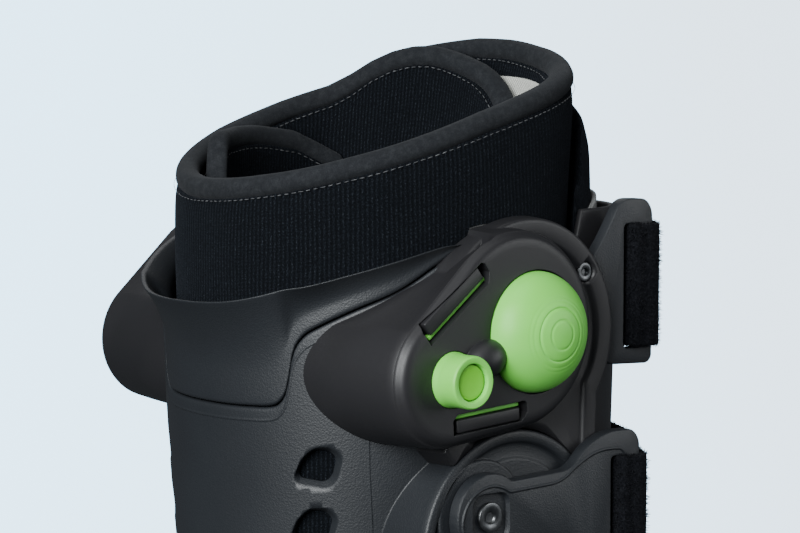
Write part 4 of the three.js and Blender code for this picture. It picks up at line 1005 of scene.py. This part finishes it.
def liner_point(degrees, z, inset):
    """Point of the liner's plan, 180 degrees behind the leg and -90 on the pump side."""
    rear, half, front = curve_at(LEG_ROWS, z)
    turn = math.radians(degrees)
    c, s = math.cos(turn), math.sin(turn)
    reach = front - inset if c > 0 else rear - LINER_CLEAR - inset
    across = half - LINER_CLEAR - inset
    return Vector((reach * power(c, 2 / REAR_POWER), across * power(s, 2 / REAR_POWER), z))


def rim_plane(degrees):
    """Height of the slanted rim at a turn."""
    return RIM_HEIGHT + RIM_SLOPE * liner_point(degrees, 379.5, 0).x


def wrap_row(degrees):
    return line_at(WRAP_ROWS, degrees)


def wrap_top(degrees):
    return rim_plane(degrees) - wrap_row(degrees)[1]


def sway(point, amount, size=26.0, seed=0.0):
    """Slow unevenness of soft goods."""
    spot = Vector((point[0] / size + seed, point[1] / size, point[2] / size))
    return Vector(point) + Vector((noise.noise(spot), noise.noise(spot + Vector((7, 3, 1))), 0)) * amount


wrap_turns = [36 - 2.4 * k for k in range(133)]
wrap_turns += [wrap_turns[-1] - 2 * (k + 1) for k in range(52)]
wrap_turns = [t for t in wrap_turns if t > -379.9]


def wrap_column(degrees, depth):
    inset = WRAP_INWARD * wrap_row(degrees)[0] + depth
    low, high = LINER_FOOT, wrap_top(degrees) - BINDING_HIGH - 0.2
    points = []
    for step in range(49):
        z = low + (high - low) * (step / 48) ** 0.8
        pinch = 0.9 * math.exp(-(high - z) / 3.5) * (1 if depth == 0 else -1)
        points.append(sway(liner_point(degrees, z, inset + pinch), 0.7))
    return points


wrap = slab("liner_wrap_strip", [wrap_column(t, 0) for t in wrap_turns],
            [wrap_column(t, LINER_WALL) for t in wrap_turns], edge=0.3)
finish_piece(wrap, knit, "knit_fabric", "liner_wrap")

# Rim binding. A smooth charcoal tape rolled over the top edge of the wrap and sewn
# through with a line of pale stitches under it.
def tape(name, turns, face, top, wide, high, seed):
    """Rolled binding over an edge, whose two faces are given by the turn and the depth."""
    rings = []
    for degrees in turns:
        outer, inner = face(degrees, 0), face(degrees, 1)
        across = (outer - inner).normalized()
        middle = (outer + inner) / 2
        level = top(degrees)
        swell = 1 + 0.035 * noise.noise(Vector((degrees / 9.0, seed, 0)))
        ring = []
        for k in range(29):
            turn = 2 * math.pi * k / 28
            side, rise = power(math.cos(turn), 0.8), power(math.sin(turn), 0.85)
            narrow = 1 if rise > -0.3 else 1 - 0.22 * ((-0.3 - rise) / 0.7) ** 1.5
            point = middle + across * side * wide / 2 * narrow * swell
            ring.append(Vector((point.x, point.y, level - high / 2 + rise * high / 2)))
        rings.append(ring)
    for end, beside in ((0, 1), (-1, -2)):
        middle = sum(rings[end][:-1], Vector()) / 28
        away = (middle - sum(rings[beside][:-1], Vector()) / 28).normalized()
        extra = [[middle + (p - middle) * s + away * high * 0.35 * d for p in rings[end]]
                 for s, d in ((0.92, 0.35), (0.7, 0.7), (0.4, 0.92), (0.0, 1.0))]
        rings = list(reversed(extra)) + rings if end == 0 else rings + extra
    return skin(name, rings)


def rim_face(degrees, depth):
    z = wrap_top(degrees) - BINDING_HIGH
    return liner_point(degrees, z, WRAP_INWARD * wrap_row(degrees)[0] + depth * LINER_WALL)


rim = tape("rim_binding", wrap_turns, rim_face, wrap_top, BINDING_WIDE, BINDING_HIGH + 0.5, 1.0)
binding = Finish("binding_fabric", (0.030, 0.031, 0.034), 0.9, Sheen_Weight=0.05, Sheen_Roughness=0.5,
                 Sheen_Tint=(0.5, 0.52, 0.55), Specular_IOR_Level=0.10)
tuft = binding.grain(2400, 4.0, 0.7)
mottle = binding.grain(420, 3.0, 0.6)
binding.set("Base Color", binding.ramp(tuft * 0.6 + mottle * 0.4, [
    (0.30, (0.0066, 0.0074, 0.0090)), (0.5, (0.0125, 0.0138, 0.0160)), (0.72, (0.027, 0.029, 0.032))]))
binding.set("Normal", binding.bump(tuft * 0.8 + mottle * 0.4, 0.00025, 0.5))
finish_piece(rim, binding, "binding_fabric", "liner_rim")


def scatter(name, seed_piece, places):
    """One mesh of many copies of a small piece, each turned and set in its place."""
    corners = [v.co.copy() for v in seed_piece.data.vertices]
    faces = [tuple(p.vertices) for p in seed_piece.data.polygons]
    points, loops = [], []
    for number, place in enumerate(places):
        points += [place @ corner for corner in corners]
        loops += [tuple(k + number * len(corners) for k in face) for face in faces]
    mesh = bpy.data.meshes.new(name)
    mesh.from_pydata(points, [], loops)
    mesh.shade_smooth()
    piece = bpy.data.objects.new(name, mesh)
    bpy.context.scene.collection.objects.link(piece)
    bpy.data.objects.remove(seed_piece, do_unlink=True)
    return piece


def stitches(name, path, pitch, length, thick, seed, facing):
    """Row of stitches along a line; facing gives the way out of the cloth at each point."""
    rng = random.Random(seed)
    bpy.ops.object.select_all(action="DESELECT")
    bpy.ops.mesh.primitive_uv_sphere_add(segments=6, ring_count=6, radius=0.5)
    one = bpy.context.object
    places = []
    spent = 0.0
    goal = pitch / 2
    for a, b, out in zip(path, path[1:], facing):
        span = (b - a).length
        while goal <= spent + span:
            spot = a + (b - a) * ((goal - spent) / span)
            along = (b - a).normalized()
            along = (along + Vector((0, 0, rng.uniform(-0.10, 0.10)))).normalized()
            side = out.cross(along).normalized()
            normal = along.cross(side)
            size = (length * rng.uniform(0.85, 1.1), thick * rng.uniform(0.85, 1.1), thick * 0.8)
            turn = Matrix((along * size[0], side * size[1], normal * size[2])).transposed().to_4x4()
            places.append(Matrix.Translation((spot + out * rng.uniform(-0.05, 0.08)) * MM) @ turn
                          @ Matrix.Scale(MM, 4))
            goal += pitch * rng.uniform(0.93, 1.07)
        spent += span
    return scatter(name, one, places)


def wrap_seam(turns, drop, depth, out):
    path, facing = [], []
    for degrees in turns:
        z = wrap_top(degrees) - drop
        inset = WRAP_INWARD * wrap_row(degrees)[0] + depth
        point = sway(liner_point(degrees, z, inset), 0.7)
        further = liner_point(degrees, z, inset + 5)
        way = (point - further).normalized() * (1 if out else -1)
        way.z = 0
        path.append(point)
        facing.append(way)
    return path, facing


seam_thread = Finish("seam_thread", (0.115, 0.118, 0.122), 0.75)
seam_thread.set("Base Color", seam_thread.shades(seam_thread.grain(900, 2.0), (0.028, 0.030, 0.033),
                                                 (0.10, 0.102, 0.105)))
for label, first, depth, out, seed in (("outer", -300, -0.25, True, 3),
                                       ("inner", -400, LINER_WALL + 0.25, False, 4)):
    path, facing = wrap_seam([t for t in wrap_turns if t > first], BINDING_HIGH + 0.1, depth, out)
    row = stitches(f"rim_stitches_{label}", path, 2.7, 2.0, 0.34, seed, facing)
    finish_piece(row, seam_thread, "binding_fabric")

# Shin lining. A light grey knit mesh is sewn on the inner face of the wrap where it
# passes the shin; only its top shows behind the lapped end.
def lining_column(degrees, depth):
    top = rim_plane(degrees) - BINDING_HIGH - 3.6
    return [liner_point(degrees, 300 + (top - 300) * k / 24, LINER_WALL + 0.9 + depth) for k in range(25)]


lining_turns = [28 - 2 * k for k in range(32)]
lining = slab("shin_lining_knit", [lining_column(t, 0) for t in lining_turns],
              [lining_column(t, 1.6) for t in lining_turns], edge=0.5)
pale = Finish("pale_knit", (0.48, 0.49, 0.44), 0.92, Sheen_Weight=0.2)
split = pale.node("ShaderNodeSeparateXYZ", None, {0: pale.cloth()})
across_sine = (split.output(0) * (2 * math.pi / 0.0016)).sine()
up_sine = (split.output(1) * (2 * math.pi / 0.0014)).sine()
mesh_holes = across_sine * up_sine
pale_fuzz = pale.grain(1900, 3.0)
pale.set("Base Color", pale.ramp(mesh_holes * 0.25 + pale_fuzz * 0.6 + 0.2, [
    (0.2, (0.22, 0.225, 0.20)), (0.5, (0.42, 0.425, 0.385)), (0.8, (0.56, 0.565, 0.52))]))
pale.set("Normal", pale.bump(mesh_holes * 0.6 + pale_fuzz * 0.5, 0.0004, 0.7))
finish_piece(lining, pale, "pale_knit", "front_lining")

# Calf pad. A padded flap of the same knit stands inside the wrap at the back of the
# calf, with its own wide binding and a row of stitches.
PAD_ROWS = ((66, 29), (74, 23), (82, 17), (94, 8), (108, 0), (124, -5.5), (138, -7.5), (146, 3))
PAD_WALL = 6
pad_inset = LINER_WALL + PAD_CLEAR
pad_turns = [146 - 2 * k for k in range(41)]


def pad_top(degrees):
    return rim_plane(degrees) - curve_at(PAD_ROWS, degrees)[0]


def pad_column(degrees, depth):
    top = pad_top(degrees) - BINDING_HIGH - 0.2
    return [sway(liner_point(degrees, 300 + (top - 300) * k / 24, pad_inset + depth), 0.5, seed=5)
            for k in range(25)]


pad = slab("calf_pad_flap", [pad_column(t, 0) for t in pad_turns],
           [pad_column(t, PAD_WALL) for t in pad_turns], edge=0.4)
finish_piece(pad, knit, "knit_fabric", "calf_pad")


def pad_face(degrees, depth):
    return liner_point(degrees, pad_top(degrees) - BINDING_HIGH, pad_inset + depth * PAD_WALL)


pad_tape = tape("calf_pad_tape", pad_turns, pad_face, pad_top, PAD_WALL + 1.4, BINDING_HIGH + 0.6, 4.0)
finish_piece(pad_tape, binding, "binding_fabric", "calf_pad_binding")
path, facing = [], []
for degrees in pad_turns:
    point = liner_point(degrees, pad_top(degrees) - BINDING_HIGH - 0.6, pad_inset + PAD_WALL + 0.2)
    path.append(point)
    facing.append(Vector((-point.x, -point.y, 0)).normalized())
pad_row = stitches("calf_pad_stitches", path, 2.9, 2.1, 0.36, 5, facing)
finish_piece(pad_row, seam_thread, "binding_fabric")

# Shin pad. A soft pad of black knit over foam between the wrap and the hard front
# panel; it stands above the panel and is rounded at its top.
shin_pad = soft_copy("shin_pad_cushion", "shin_pad", 3.0, 3.0, 1.2)
finish_piece(shin_pad, plain_knit, "knit_fabric", "shin_pad")

# Front panel and its lining. A stiff dark plate over the shin and the instep, open at
# the toes; a thin pale knit behind it shows along its top edge.
PANEL_ROWS = (  # height share, border x, border z, crest x, crest z, half width
    (0.00, 172, 60, 172, 74, 42.5), (0.10, 140, 60, 146, 85, 47), (0.22, 100, 80, 118, 100, 44.5),
    (0.34, 68, 106, 98, 118, 44), (0.46, 47, 148, 87, 148, 49), (0.60, 35, 200, 85, 200, 58),
    (0.72, 31, 240, 85, 240, 63.5), (0.88, 30.5, 300, 85, 300, 66.8), (0.95, 31, 330, 85, 330, 67.2),
    (1.00, 40, 351.5, 85, 351.5, 63.2))
panel_steps = [-90 + 180 * k / 64 for k in range(65)]


def panel_column(degrees, depth):
    turn = math.radians(degrees)
    points = []
    for k in range(81):
        bx, bz, cx, cz, half = curve_at(PANEL_ROWS, k / 80)
        border, crest = Vector((bx, 0, bz)), Vector((cx, 0, cz))
        out = (crest - border).normalized()
        reach = (crest - border).length
        points.append(border + out * (reach - depth) * power(math.cos(turn), 0.93)
                      + Vector((0, (half - depth) * power(math.sin(turn), 0.93), 0)))
    return points


panel = slab("front_shin_plate", [panel_column(t, 1.0) for t in panel_steps],
             [panel_column(t, 3.6) for t in panel_steps], edge=0.8, smooth=60)
finish_piece(panel, housing_plastic, "housing_plastic", "front_panel")


PANEL_FRONT = 85
PANEL_INSET = 3.6


def panel_lining_column(degrees, depth):
    top = 357 - 12 * (degrees / 62) ** 4
    turn = math.radians(degrees)
    points = []
    for k in range(31):
        z = 192 + (top - 192) * k / 30
        rear, half, _ = curve_at(LEG_ROWS, z)
        inset = SHELL_WALL + 0.6 + PANEL_INSET + depth
        points.append(Vector(((PANEL_FRONT - PANEL_INSET - depth) * power(math.cos(turn), 2 / REAR_POWER),
                              (half - inset) * power(math.sin(turn), 2 / REAR_POWER), z)))
    return points


lining_steps = [-62 + 2 * k for k in range(63)]
backing = slab("shin_plate_backing", [panel_lining_column(t, 0) for t in lining_steps],
               [panel_lining_column(t, 1.6) for t in lining_steps], edge=0.5)
grey = Finish("pale_knit_backing", (0.12, 0.125, 0.125), 0.92, Sheen_Weight=0.2)
grey_fuzz = grey.grain(1900, 3.0)
grey.set("Base Color", grey.shades(grey_fuzz, (0.08, 0.084, 0.084), (0.19, 0.195, 0.19)))
grey.set("Normal", grey.bump(grey_fuzz, 0.0003, 0.6))
finish_piece(backing, grey, "pale_knit", "panel_lining")

# Strap clips. Flat moulded plates with an upright slot and a round bar at the front: the
# upper one comes out from under the flange, the lower one turns on the round plate.
CLIP_THICK = 4.6
CLIP_FACE = 74.4
LOWER_CLIP_FACE = HUB_FACE + GAP + CLIP_THICK
STRAP_WIDE = 43
STRAP_THICK = 2.8
UPPER_TOP = 347
LOWER_TOP = 267
SLOT_X = 48
SLOT_WIDE = 8.5
BAR_WIDE = 6
LOWER_BACK = 15.5
STRAP_FRONT = 97


def plate(name, outline, face, back, side, hole=None, soft=0.7):
    """Flat plate in the side view, with rounded edges on its face, and an optional hole."""
    outline = [b for a, b in zip(outline[-1:] + outline, outline) if math.dist(a, b) > 0.15]

    def ring(grow, y):
        points = []
        count = len(outline)
        for i in range(count):
            before, after = Vector(outline[i - 1]), Vector(outline[(i + 1) % count])
            along = (after - before).normalized()
            out = Vector((along.y, -along.x))
            x, z = Vector(outline[i]) + out * grow * turn_way
            points.append((x, side * y, z))
        return points + points[:1]

    area = sum(a[0] * b[1] - b[0] * a[1] for a, b in zip(outline, outline[1:] + outline[:1]))
    turn_way = 1 if area > 0 else -1
    rings = [ring(0, back), ring(0, face - soft), ring(-soft * 0.3, face - soft * 0.3), ring(-soft, face)]
    piece = skin(name, rings, fill=True, smooth=35)
    if hole:
        cut(piece, prism("hole", hole, side * (back - 3), side * (face + 3)))
        bpy.ops.object.shade_smooth_by_angle(angle=math.radians(35))
    return piece


def clip_corners(slot_top):
    low = slot_top - STRAP_WIDE - 1
    right = SLOT_X + SLOT_WIDE + BAR_WIDE
    corners = [(SLOT_X - 9, low - 5), (right - 2, low - 6), (right, low - 4), (right, slot_top + 5),
               (right - 3, slot_top + 9), (SLOT_X - 1, slot_top + 9.5), (SLOT_X - 8, slot_top - 2)]
    hole = rounded([(SLOT_X, low), (SLOT_X + SLOT_WIDE, low), (SLOT_X + SLOT_WIDE, slot_top + 0.5),
                    (SLOT_X, slot_top + 0.5)], 2.0)
    return corners, hole


for label, side in (("near", -1), ("far", 1)):
    corners, hole = clip_corners(UPPER_TOP)
    tongue = 31.6 + 2 * GAP
    outline = rounded([(tongue, UPPER_TOP - 36), *corners, (tongue, UPPER_TOP - 12)],
                      (2, 5, 2.5, 2.5, 3, 3, 5, 6, 2))
    clip = plate(f"upper_clip_plate_{label}", outline, CLIP_FACE, CLIP_FACE - CLIP_THICK, side, hole)
    finish_piece(clip, plastic, "shell_plastic", f"upper_clip_{label}")

    corners, hole = clip_corners(LOWER_TOP)
    pin = RIVETS[side]
    corners = [(x - LOWER_BACK, z) for x, z in corners]
    hole = [(x - LOWER_BACK, z) for x, z in hole]
    low = LOWER_TOP - STRAP_WIDE - 1
    hub = [(pin[0] + 15 * math.cos(math.radians(t)), pin[1] + 15 * math.sin(math.radians(t)))
           for t in range(50, 312, 12)]
    body = [*hub, (12, pin[1] - 11), (SLOT_X - 16 - LOWER_BACK + 6, low - 1), *corners[:6],
            (SLOT_X - 16 - LOWER_BACK + 4, LOWER_TOP + 5), (14, pin[1] + 12.5)]
    outline = rounded(body, [1] * len(hub) + [12, 8, 5, 2.5, 2.5, 3, 3, 6, 10, 12])
    clip = plate(f"lower_clip_plate_{label}", outline, LOWER_CLIP_FACE, LOWER_CLIP_FACE - CLIP_THICK, side,
                 hole, soft=0.9)
    seat = prism("rivet_seat", rounded([(pin[0] - 7.8, pin[1] - 7.8), (pin[0] + 7.8, pin[1] - 7.8),
                                        (pin[0] + 7.8, pin[1] + 7.8), (pin[0] - 7.8, pin[1] + 7.8)], 4.5),
                 side * (LOWER_CLIP_FACE - 1.6), side * (LOWER_CLIP_FACE + 1.4), 1.12)
    cut(clip, seat)
    bpy.ops.object.shade_smooth_by_angle(angle=math.radians(35))
    contour = rounded([(x * 0.86 + pin[0] * 0.14 + (3 if x > 20 else 0), (z - 246) * 0.80 + 246)
                       for x, z in body], [1] * len(hub) + [12, 8, 5, 2.5, 2.5, 3, 3, 6, 10, 12])
    contour = [(x, side * (LOWER_CLIP_FACE - 0.05), z) for x, z in contour]
    join(clip, bead("rib", contour, 0.5, closed=True))
    finish_piece(clip, plastic, "shell_plastic", f"lower_clip_{label}")

# Rivet of the lower clip. A large flat steel head with a sunk middle, through the clip
# into the round plate.
for label, side in (("near", -1), ("far", 1)):
    head = LOWER_CLIP_FACE - 0.2
    seat = LOWER_CLIP_FACE - 1.6 + GAP
    rivet = turned(f"rivet_{label}", [
        (0, 69), (RIVET_RADIUS * 0.5, 69), (RIVET_RADIUS * 0.5, seat), (RIVET_RADIUS, seat),
        (RIVET_RADIUS, head - 0.5), (RIVET_RADIUS - 0.2, head - 0.12), (RIVET_RADIUS - 0.7, head),
        (2.6, head - 0.05), (2.1, head - 0.4), (1.7, head - 0.9), (0, head - 1.0)],
        RIVETS[side], side, count=64)
    finish_piece(rivet, steel, "steel", f"clip_rivet_{label}")

# Straps. Black webbing faced with brushed loops for the hook tape; each leg strap runs
# through a clip slot, folds round its bar and closes over the shin.
loop = Finish("loop_fabric", (0.007, 0.0075, 0.0095), 0.95, Sheen_Weight=0.04, Sheen_Roughness=0.4,
              Sheen_Tint=(0.5, 0.5, 0.55), Specular_IOR_Level=0.06)
pile_grain = loop.grain(1500, 4.0, 0.7)
loop.set("Base Color", loop.ramp(pile_grain, [
    (0.3, (0.0016, 0.0018, 0.0025)), (0.52, (0.0048, 0.0052, 0.0068)), (0.75, (0.017, 0.018, 0.022))]))
loop.set("Normal", loop.bump(pile_grain, 0.0006, 0.8))


def ribbon(name, path, low, high, basis=None):
    """Strap from a line in its own plane; returns the piece and the frames along its middle."""
    curve = spline([(x, y, 0) for x, y in path], 14)
    outer, inner = [], []
    frames = []
    steps = 10
    for i, point in enumerate(curve):
        along = (curve[min(i + 1, len(curve) - 1)] - curve[max(i - 1, 0)]).normalized()
        out = Vector((along.y, -along.x, 0))
        rows = []
        for face in (1, -1):
            column = []
            for k in range(steps + 1):
                z = low + 0.9 + (high - low - 1.8) * k / steps
                spot = point + out * face * (STRAP_THICK / 2 - 0.15) + Vector((0, 0, z))
                column.append(basis @ spot if basis else spot)
            rows.append(column)
        outer.append(rows[0])
        inner.append(rows[1])
        turn = basis.to_3x3() if basis else Matrix.Identity(3)
        middle = basis @ point if basis else point.copy()
        frames.append((middle, turn @ along, turn @ out, turn @ Vector((0, 0, 1))))
    return slab(name, outer, inner, edge=0.9), frames


def pile(name, frames, low, high, count, seed):
    """Loop pile: thin bent spikes on both faces and the edges of a strap."""
    rng = random.Random(seed)
    bpy.ops.object.select_all(action="DESELECT")
    bpy.ops.mesh.primitive_cone_add(vertices=3, radius1=0.15, radius2=0.04, depth=1.0,
                                    end_fill_type="NOTHING")
    one = bpy.context.object
    for vertex in one.data.vertices:
        vertex.co.z += 0.5
    places = []
    half = STRAP_THICK / 2 - 0.2
    for _ in range(count):
        i = rng.randrange(len(frames) - 1)
        spot, along, out, up = frames[i]
        spot = spot.lerp(frames[i + 1][0], rng.random())
        kind = rng.random()
        if kind < 0.66:
            sign = 1 if rng.random() < 0.75 else -1
            base = spot + out * sign * half + up * rng.uniform(low + 0.6, high - 0.6)
            way = out * sign
        else:
            sign = 1 if rng.random() < 0.5 else -1
            base = spot + up * (high - 0.5 if sign > 0 else low + 0.5) + out * rng.uniform(-half, half)
            way = up * sign
        tilt = Vector([rng.uniform(-1, 1) for _ in range(3)]) * 0.85
        way = (way + tilt).normalized()
        turn = way.to_track_quat("Z", "Y").to_matrix().to_4x4()
        size = rng.uniform(0.7, 1.9)
        places.append(Matrix.Translation(base * MM) @ turn @ Matrix.Diagonal((MM, MM, size * MM, 1)))
    return scatter(name, one, places)


def leg_path(bar_x, face, bends):
    bar_y = -face + CLIP_THICK / 2
    outside = bar_y - CLIP_THICK / 2 - STRAP_THICK / 2 - 0.8
    inside = bar_y + CLIP_THICK / 2 + STRAP_THICK / 2 + 0.8
    middle = bar_x - BAR_WIDE / 2 - SLOT_WIDE / 2
    inner = STRAP_FRONT - STRAP_THICK - 1.2
    turn, crest, inner_turn, end = bends
    half = [(inner * end[0], inside * end[1]), (inner * inner_turn[0], inside * inner_turn[1]),
            (bar_x + BAR_WIDE * 0.6, inside + 1.2),
            (middle + 2.4, inside), (middle, inside - 1.4), (middle, outside + 1.4), (middle + 2.4, outside),
            (bar_x + BAR_WIDE * 0.45, outside + 0.4), (STRAP_FRONT * turn[0], inside * turn[1]),
            (STRAP_FRONT * crest[0], inside * crest[1]), (STRAP_FRONT, 0)]
    return half + [(x, -y) for x, y in reversed(half[:-1])]


STRAP_BENDS = {  # shoulder, crest, inner shoulder and end: shares of the front reach and of the bar's inner side
    "upper": ((0.785, 0.843), (0.918, 0.533), (0.781, 0.796), (0.914, 0.506)),
    "lower": ((0.66, 0.80), (0.876, 0.477), (0.658, 0.748), (0.874, 0.449))}
bar_middle = SLOT_X + SLOT_WIDE + BAR_WIDE / 2
for label, top, bar_x, face, seed in (("upper", UPPER_TOP, bar_middle, CLIP_FACE, 11),
                                      ("lower", LOWER_TOP, bar_middle - LOWER_BACK, LOWER_CLIP_FACE, 12)):
    path = leg_path(bar_x, face, STRAP_BENDS[label])
    strap, frames = ribbon(f"{label}_strap_web", path, top - STRAP_WIDE, top)
    length = sum((b[0] - a[0]).length for a, b in zip(frames, frames[1:]))
    finish_piece(strap, loop, "loop_fabric", f"{label}_strap")
    hairs = pile(f"{label}_strap_pile", frames, top - STRAP_WIDE, top, 14000, seed)
    finish_piece(hairs, loop, "loop_fabric")

# Foot straps. Three straps of the same kind over the ankle, the instep and the toes;
# their ends are riveted to the outside of the foot shell.
OVER_ARCH = ((1.0, 0.0), (1.0, 0.36), (0.93, 0.57), (0.74, 0.78), (0.43, 0.93), (0.0, 1.0))
OVER_ANKLE = ((0.895, -0.046), (0.908, 0.154), (0.934, 0.338), (0.957, 0.477), (0.98, 0.615), (1.0, 0.708),
              (0.915, 0.76), (0.78, 0.85), (0.553, 0.925), (0.277, 0.98), (0.0, 1.0))
ARCH_TOPS = ((-20.4, 172.5), (36.7, 172.5), (61.2, 157), (85.7, 124.2), (118.3, 94.9), (155, 75.9),
             (183.6, 67.3))
FOOT_STRAPS = (  # node, x and z of its ends, lean, width, path, reach to the side
    ("ankle_strap", -12, 78, 54, 38, OVER_ANKLE, 61.8), ("instep_strap", 106, 50, 12, 34, OVER_ARCH, 59),
    ("toe_strap", 150, 44, 8, 27, OVER_ARCH, 59))
for number, (label, x, z, lean, wide, rows, reach) in enumerate(FOOT_STRAPS):
    rise = 139 if rows is OVER_ANKLE else line_at(ARCH_TOPS, x)[0] + 9 - z
    half = [(-side * reach, up * rise) for side, up in rows]
    path = half + [(-y, up) for y, up in reversed(half[:-1])]
    turn = math.radians(lean)
    basis = Matrix(((0, math.sin(turn), math.cos(turn), x), (1, 0, 0, 0),
                    (0, math.cos(turn), -math.sin(turn), z), (0, 0, 0, 1)))
    strap, frames = ribbon(f"{label}_web", [(p[0], p[1]) for p in path], -wide / 2, wide / 2, basis)
    length = sum((b[0] - a[0]).length for a, b in zip(frames, frames[1:]))
    finish_piece(strap, loop, "loop_fabric", label)
    hairs = pile(f"{label}_pile", frames, -wide / 2, wide / 2, 7000, 21 + number)
    finish_piece(hairs, loop, "loop_fabric")
    low, following = half[0], half[1]
    y = low[0] + (following[0] - low[0]) * 2 * 7 / (following[1] - low[1])
    seat = -(y - STRAP_THICK / 2 - GAP)
    spot = basis @ Vector((0, low[1] + 7, 0))
    for side_label, side in (("near", -1), ("far", 1)):
        rivet = turned(f"{label}_stud_{side_label}", [
            (0, seat), (5, seat), (4.9, seat + 0.5), (4.4, seat + 1.2), (3.4, seat + 1.65), (1.8, seat + 1.8),
            (0, seat + 1.8)], (spot.x, spot.z), side, count=48)
        finish_piece(rivet, steel, "steel", f"{label}_rivet_{side_label}")

# Studio. A pale floor and backdrop, a large soft key from the left, a weaker one from
# the right, a soft box overhead and a rim light behind, and the camera of the photograph.
AIM = Vector((0.0042, -0.0035, 0.330))
VIEW_TURN = math.radians(50)


def sweep():
    profile = [(-3000, 0), (-1500, 0), (0, 0), (1200, 0)]
    profile += [(1200 + 1500 * math.sin(math.radians(t)), 1500 - 1500 * math.cos(math.radians(t)))
                for t in range(6, 91, 6)]
    profile.append((2700, 4000))
    rings = []
    for along, z in profile:
        rings.append([(along * math.cos(VIEW_TURN) - side * math.sin(VIEW_TURN),
                       along * math.sin(VIEW_TURN) + side * math.cos(VIEW_TURN), z)
                      for side in (-4000, -1500, 1500, 4000)])
    return skin("studio_floor", rings)


floor = sweep()
paper = Finish("studio_paper", (0.66, 0.70, 0.74), 0.9, Emission_Strength=1.0)
split = paper.node("ShaderNodeSeparateXYZ", None, {0: paper.place()})
away = (split.output(0) * math.cos(VIEW_TURN) + split.output(1) * math.sin(VIEW_TURN) - 0.45) * 1.6
across = (split.output(0) * -math.sin(VIEW_TURN) + split.output(1) * math.cos(VIEW_TURN)) + 0.5
rise = paper.ramp(away, [(0.0, (0.0, 0.0, 0.0)), (1.0, (1.0, 1.0, 1.0))])
tone = paper.ramp(across, [(0.1, (0.44, 0.56, 0.66)), (0.9, (0.46, 0.76, 1.0))])
paper.set("Emission Color", paper.node("ShaderNodeVectorMath", {"operation": "MULTIPLY"}, {0: rise, 1: tone}))
paper.set("Emission Strength", 4.6)
floor.data.materials.append(paper.material)
floor.visible_diffuse = False
floor.visible_glossy = False


def lamp(name, turn, height, far, size, power_w, color=(1, 1, 1), size_y=None):
    """Soft box that looks at the boot; the turn is seen from above, 0 ahead of the toes."""
    data = bpy.data.lights.new(name, "AREA")
    data.energy = power_w
    data.size = size
    data.shape = "RECTANGLE"
    data.size_y = size_y or size
    data.color = color
    made = bpy.data.objects.new(name, data)
    bpy.context.scene.collection.objects.link(made)
    a, b = math.radians(turn), math.radians(height)
    way = Vector((math.cos(a) * math.cos(b), math.sin(a) * math.cos(b), math.sin(b)))
    made.location = AIM + way * far
    made.rotation_euler = way.to_track_quat("Z", "Y").to_euler()
    return made


lamp("key", 206, 20, 1.5, 0.8, 53, (0.96, 0.99, 1.0), 1.0)
lamp("fill", -48, 14, 1.8, 1.0, 11, (0.97, 0.99, 1.0))
lamp("overhead", -120, 80, 1.4, 1.1, 4)
lamp("rim", 60, 40, 1.5, 0.8, 3)
world = bpy.context.scene.world or bpy.data.worlds.new("studio")
bpy.context.scene.world = world
world.use_nodes = True
sky = world.node_tree.nodes.get("Background") or world.node_tree.nodes.new("ShaderNodeBackground")
sky.inputs["Color"].default_value = (0.72, 0.80, 0.88, 1)
sky.inputs["Strength"].default_value = 0.12
seen = world.node_tree.nodes.new("ShaderNodeBackground")
seen.inputs["Color"].default_value = (0.46, 0.66, 0.82, 1)
seen.inputs["Strength"].default_value = 3.0
eye_path = world.node_tree.nodes.new("ShaderNodeLightPath")
choice = world.node_tree.nodes.new("ShaderNodeMixShader")
for source, target in ((eye_path.outputs["Is Camera Ray"], choice.inputs[0]), (sky.outputs[0], choice.inputs[1]),
                       (seen.outputs[0], choice.inputs[2]),
                       (choice.outputs[0], world.node_tree.nodes["World Output"].inputs[0])):
    world.node_tree.links.new(source, target)

eye = bpy.data.cameras.new("camera")
eye.lens = 117
eye.sensor_width = 36
viewer = bpy.data.objects.new("camera", eye)
bpy.context.scene.collection.objects.link(viewer)
viewer.location = (-0.6009, -0.7247, 0.4124)
a, b = math.radians(40), math.radians(5)
view_way = Vector((math.sin(a) * math.cos(b), math.cos(a) * math.cos(b), -math.sin(b)))
viewer.rotation_euler = view_way.to_track_quat("-Z", "Y").to_euler()
bpy.context.scene.camera = viewer
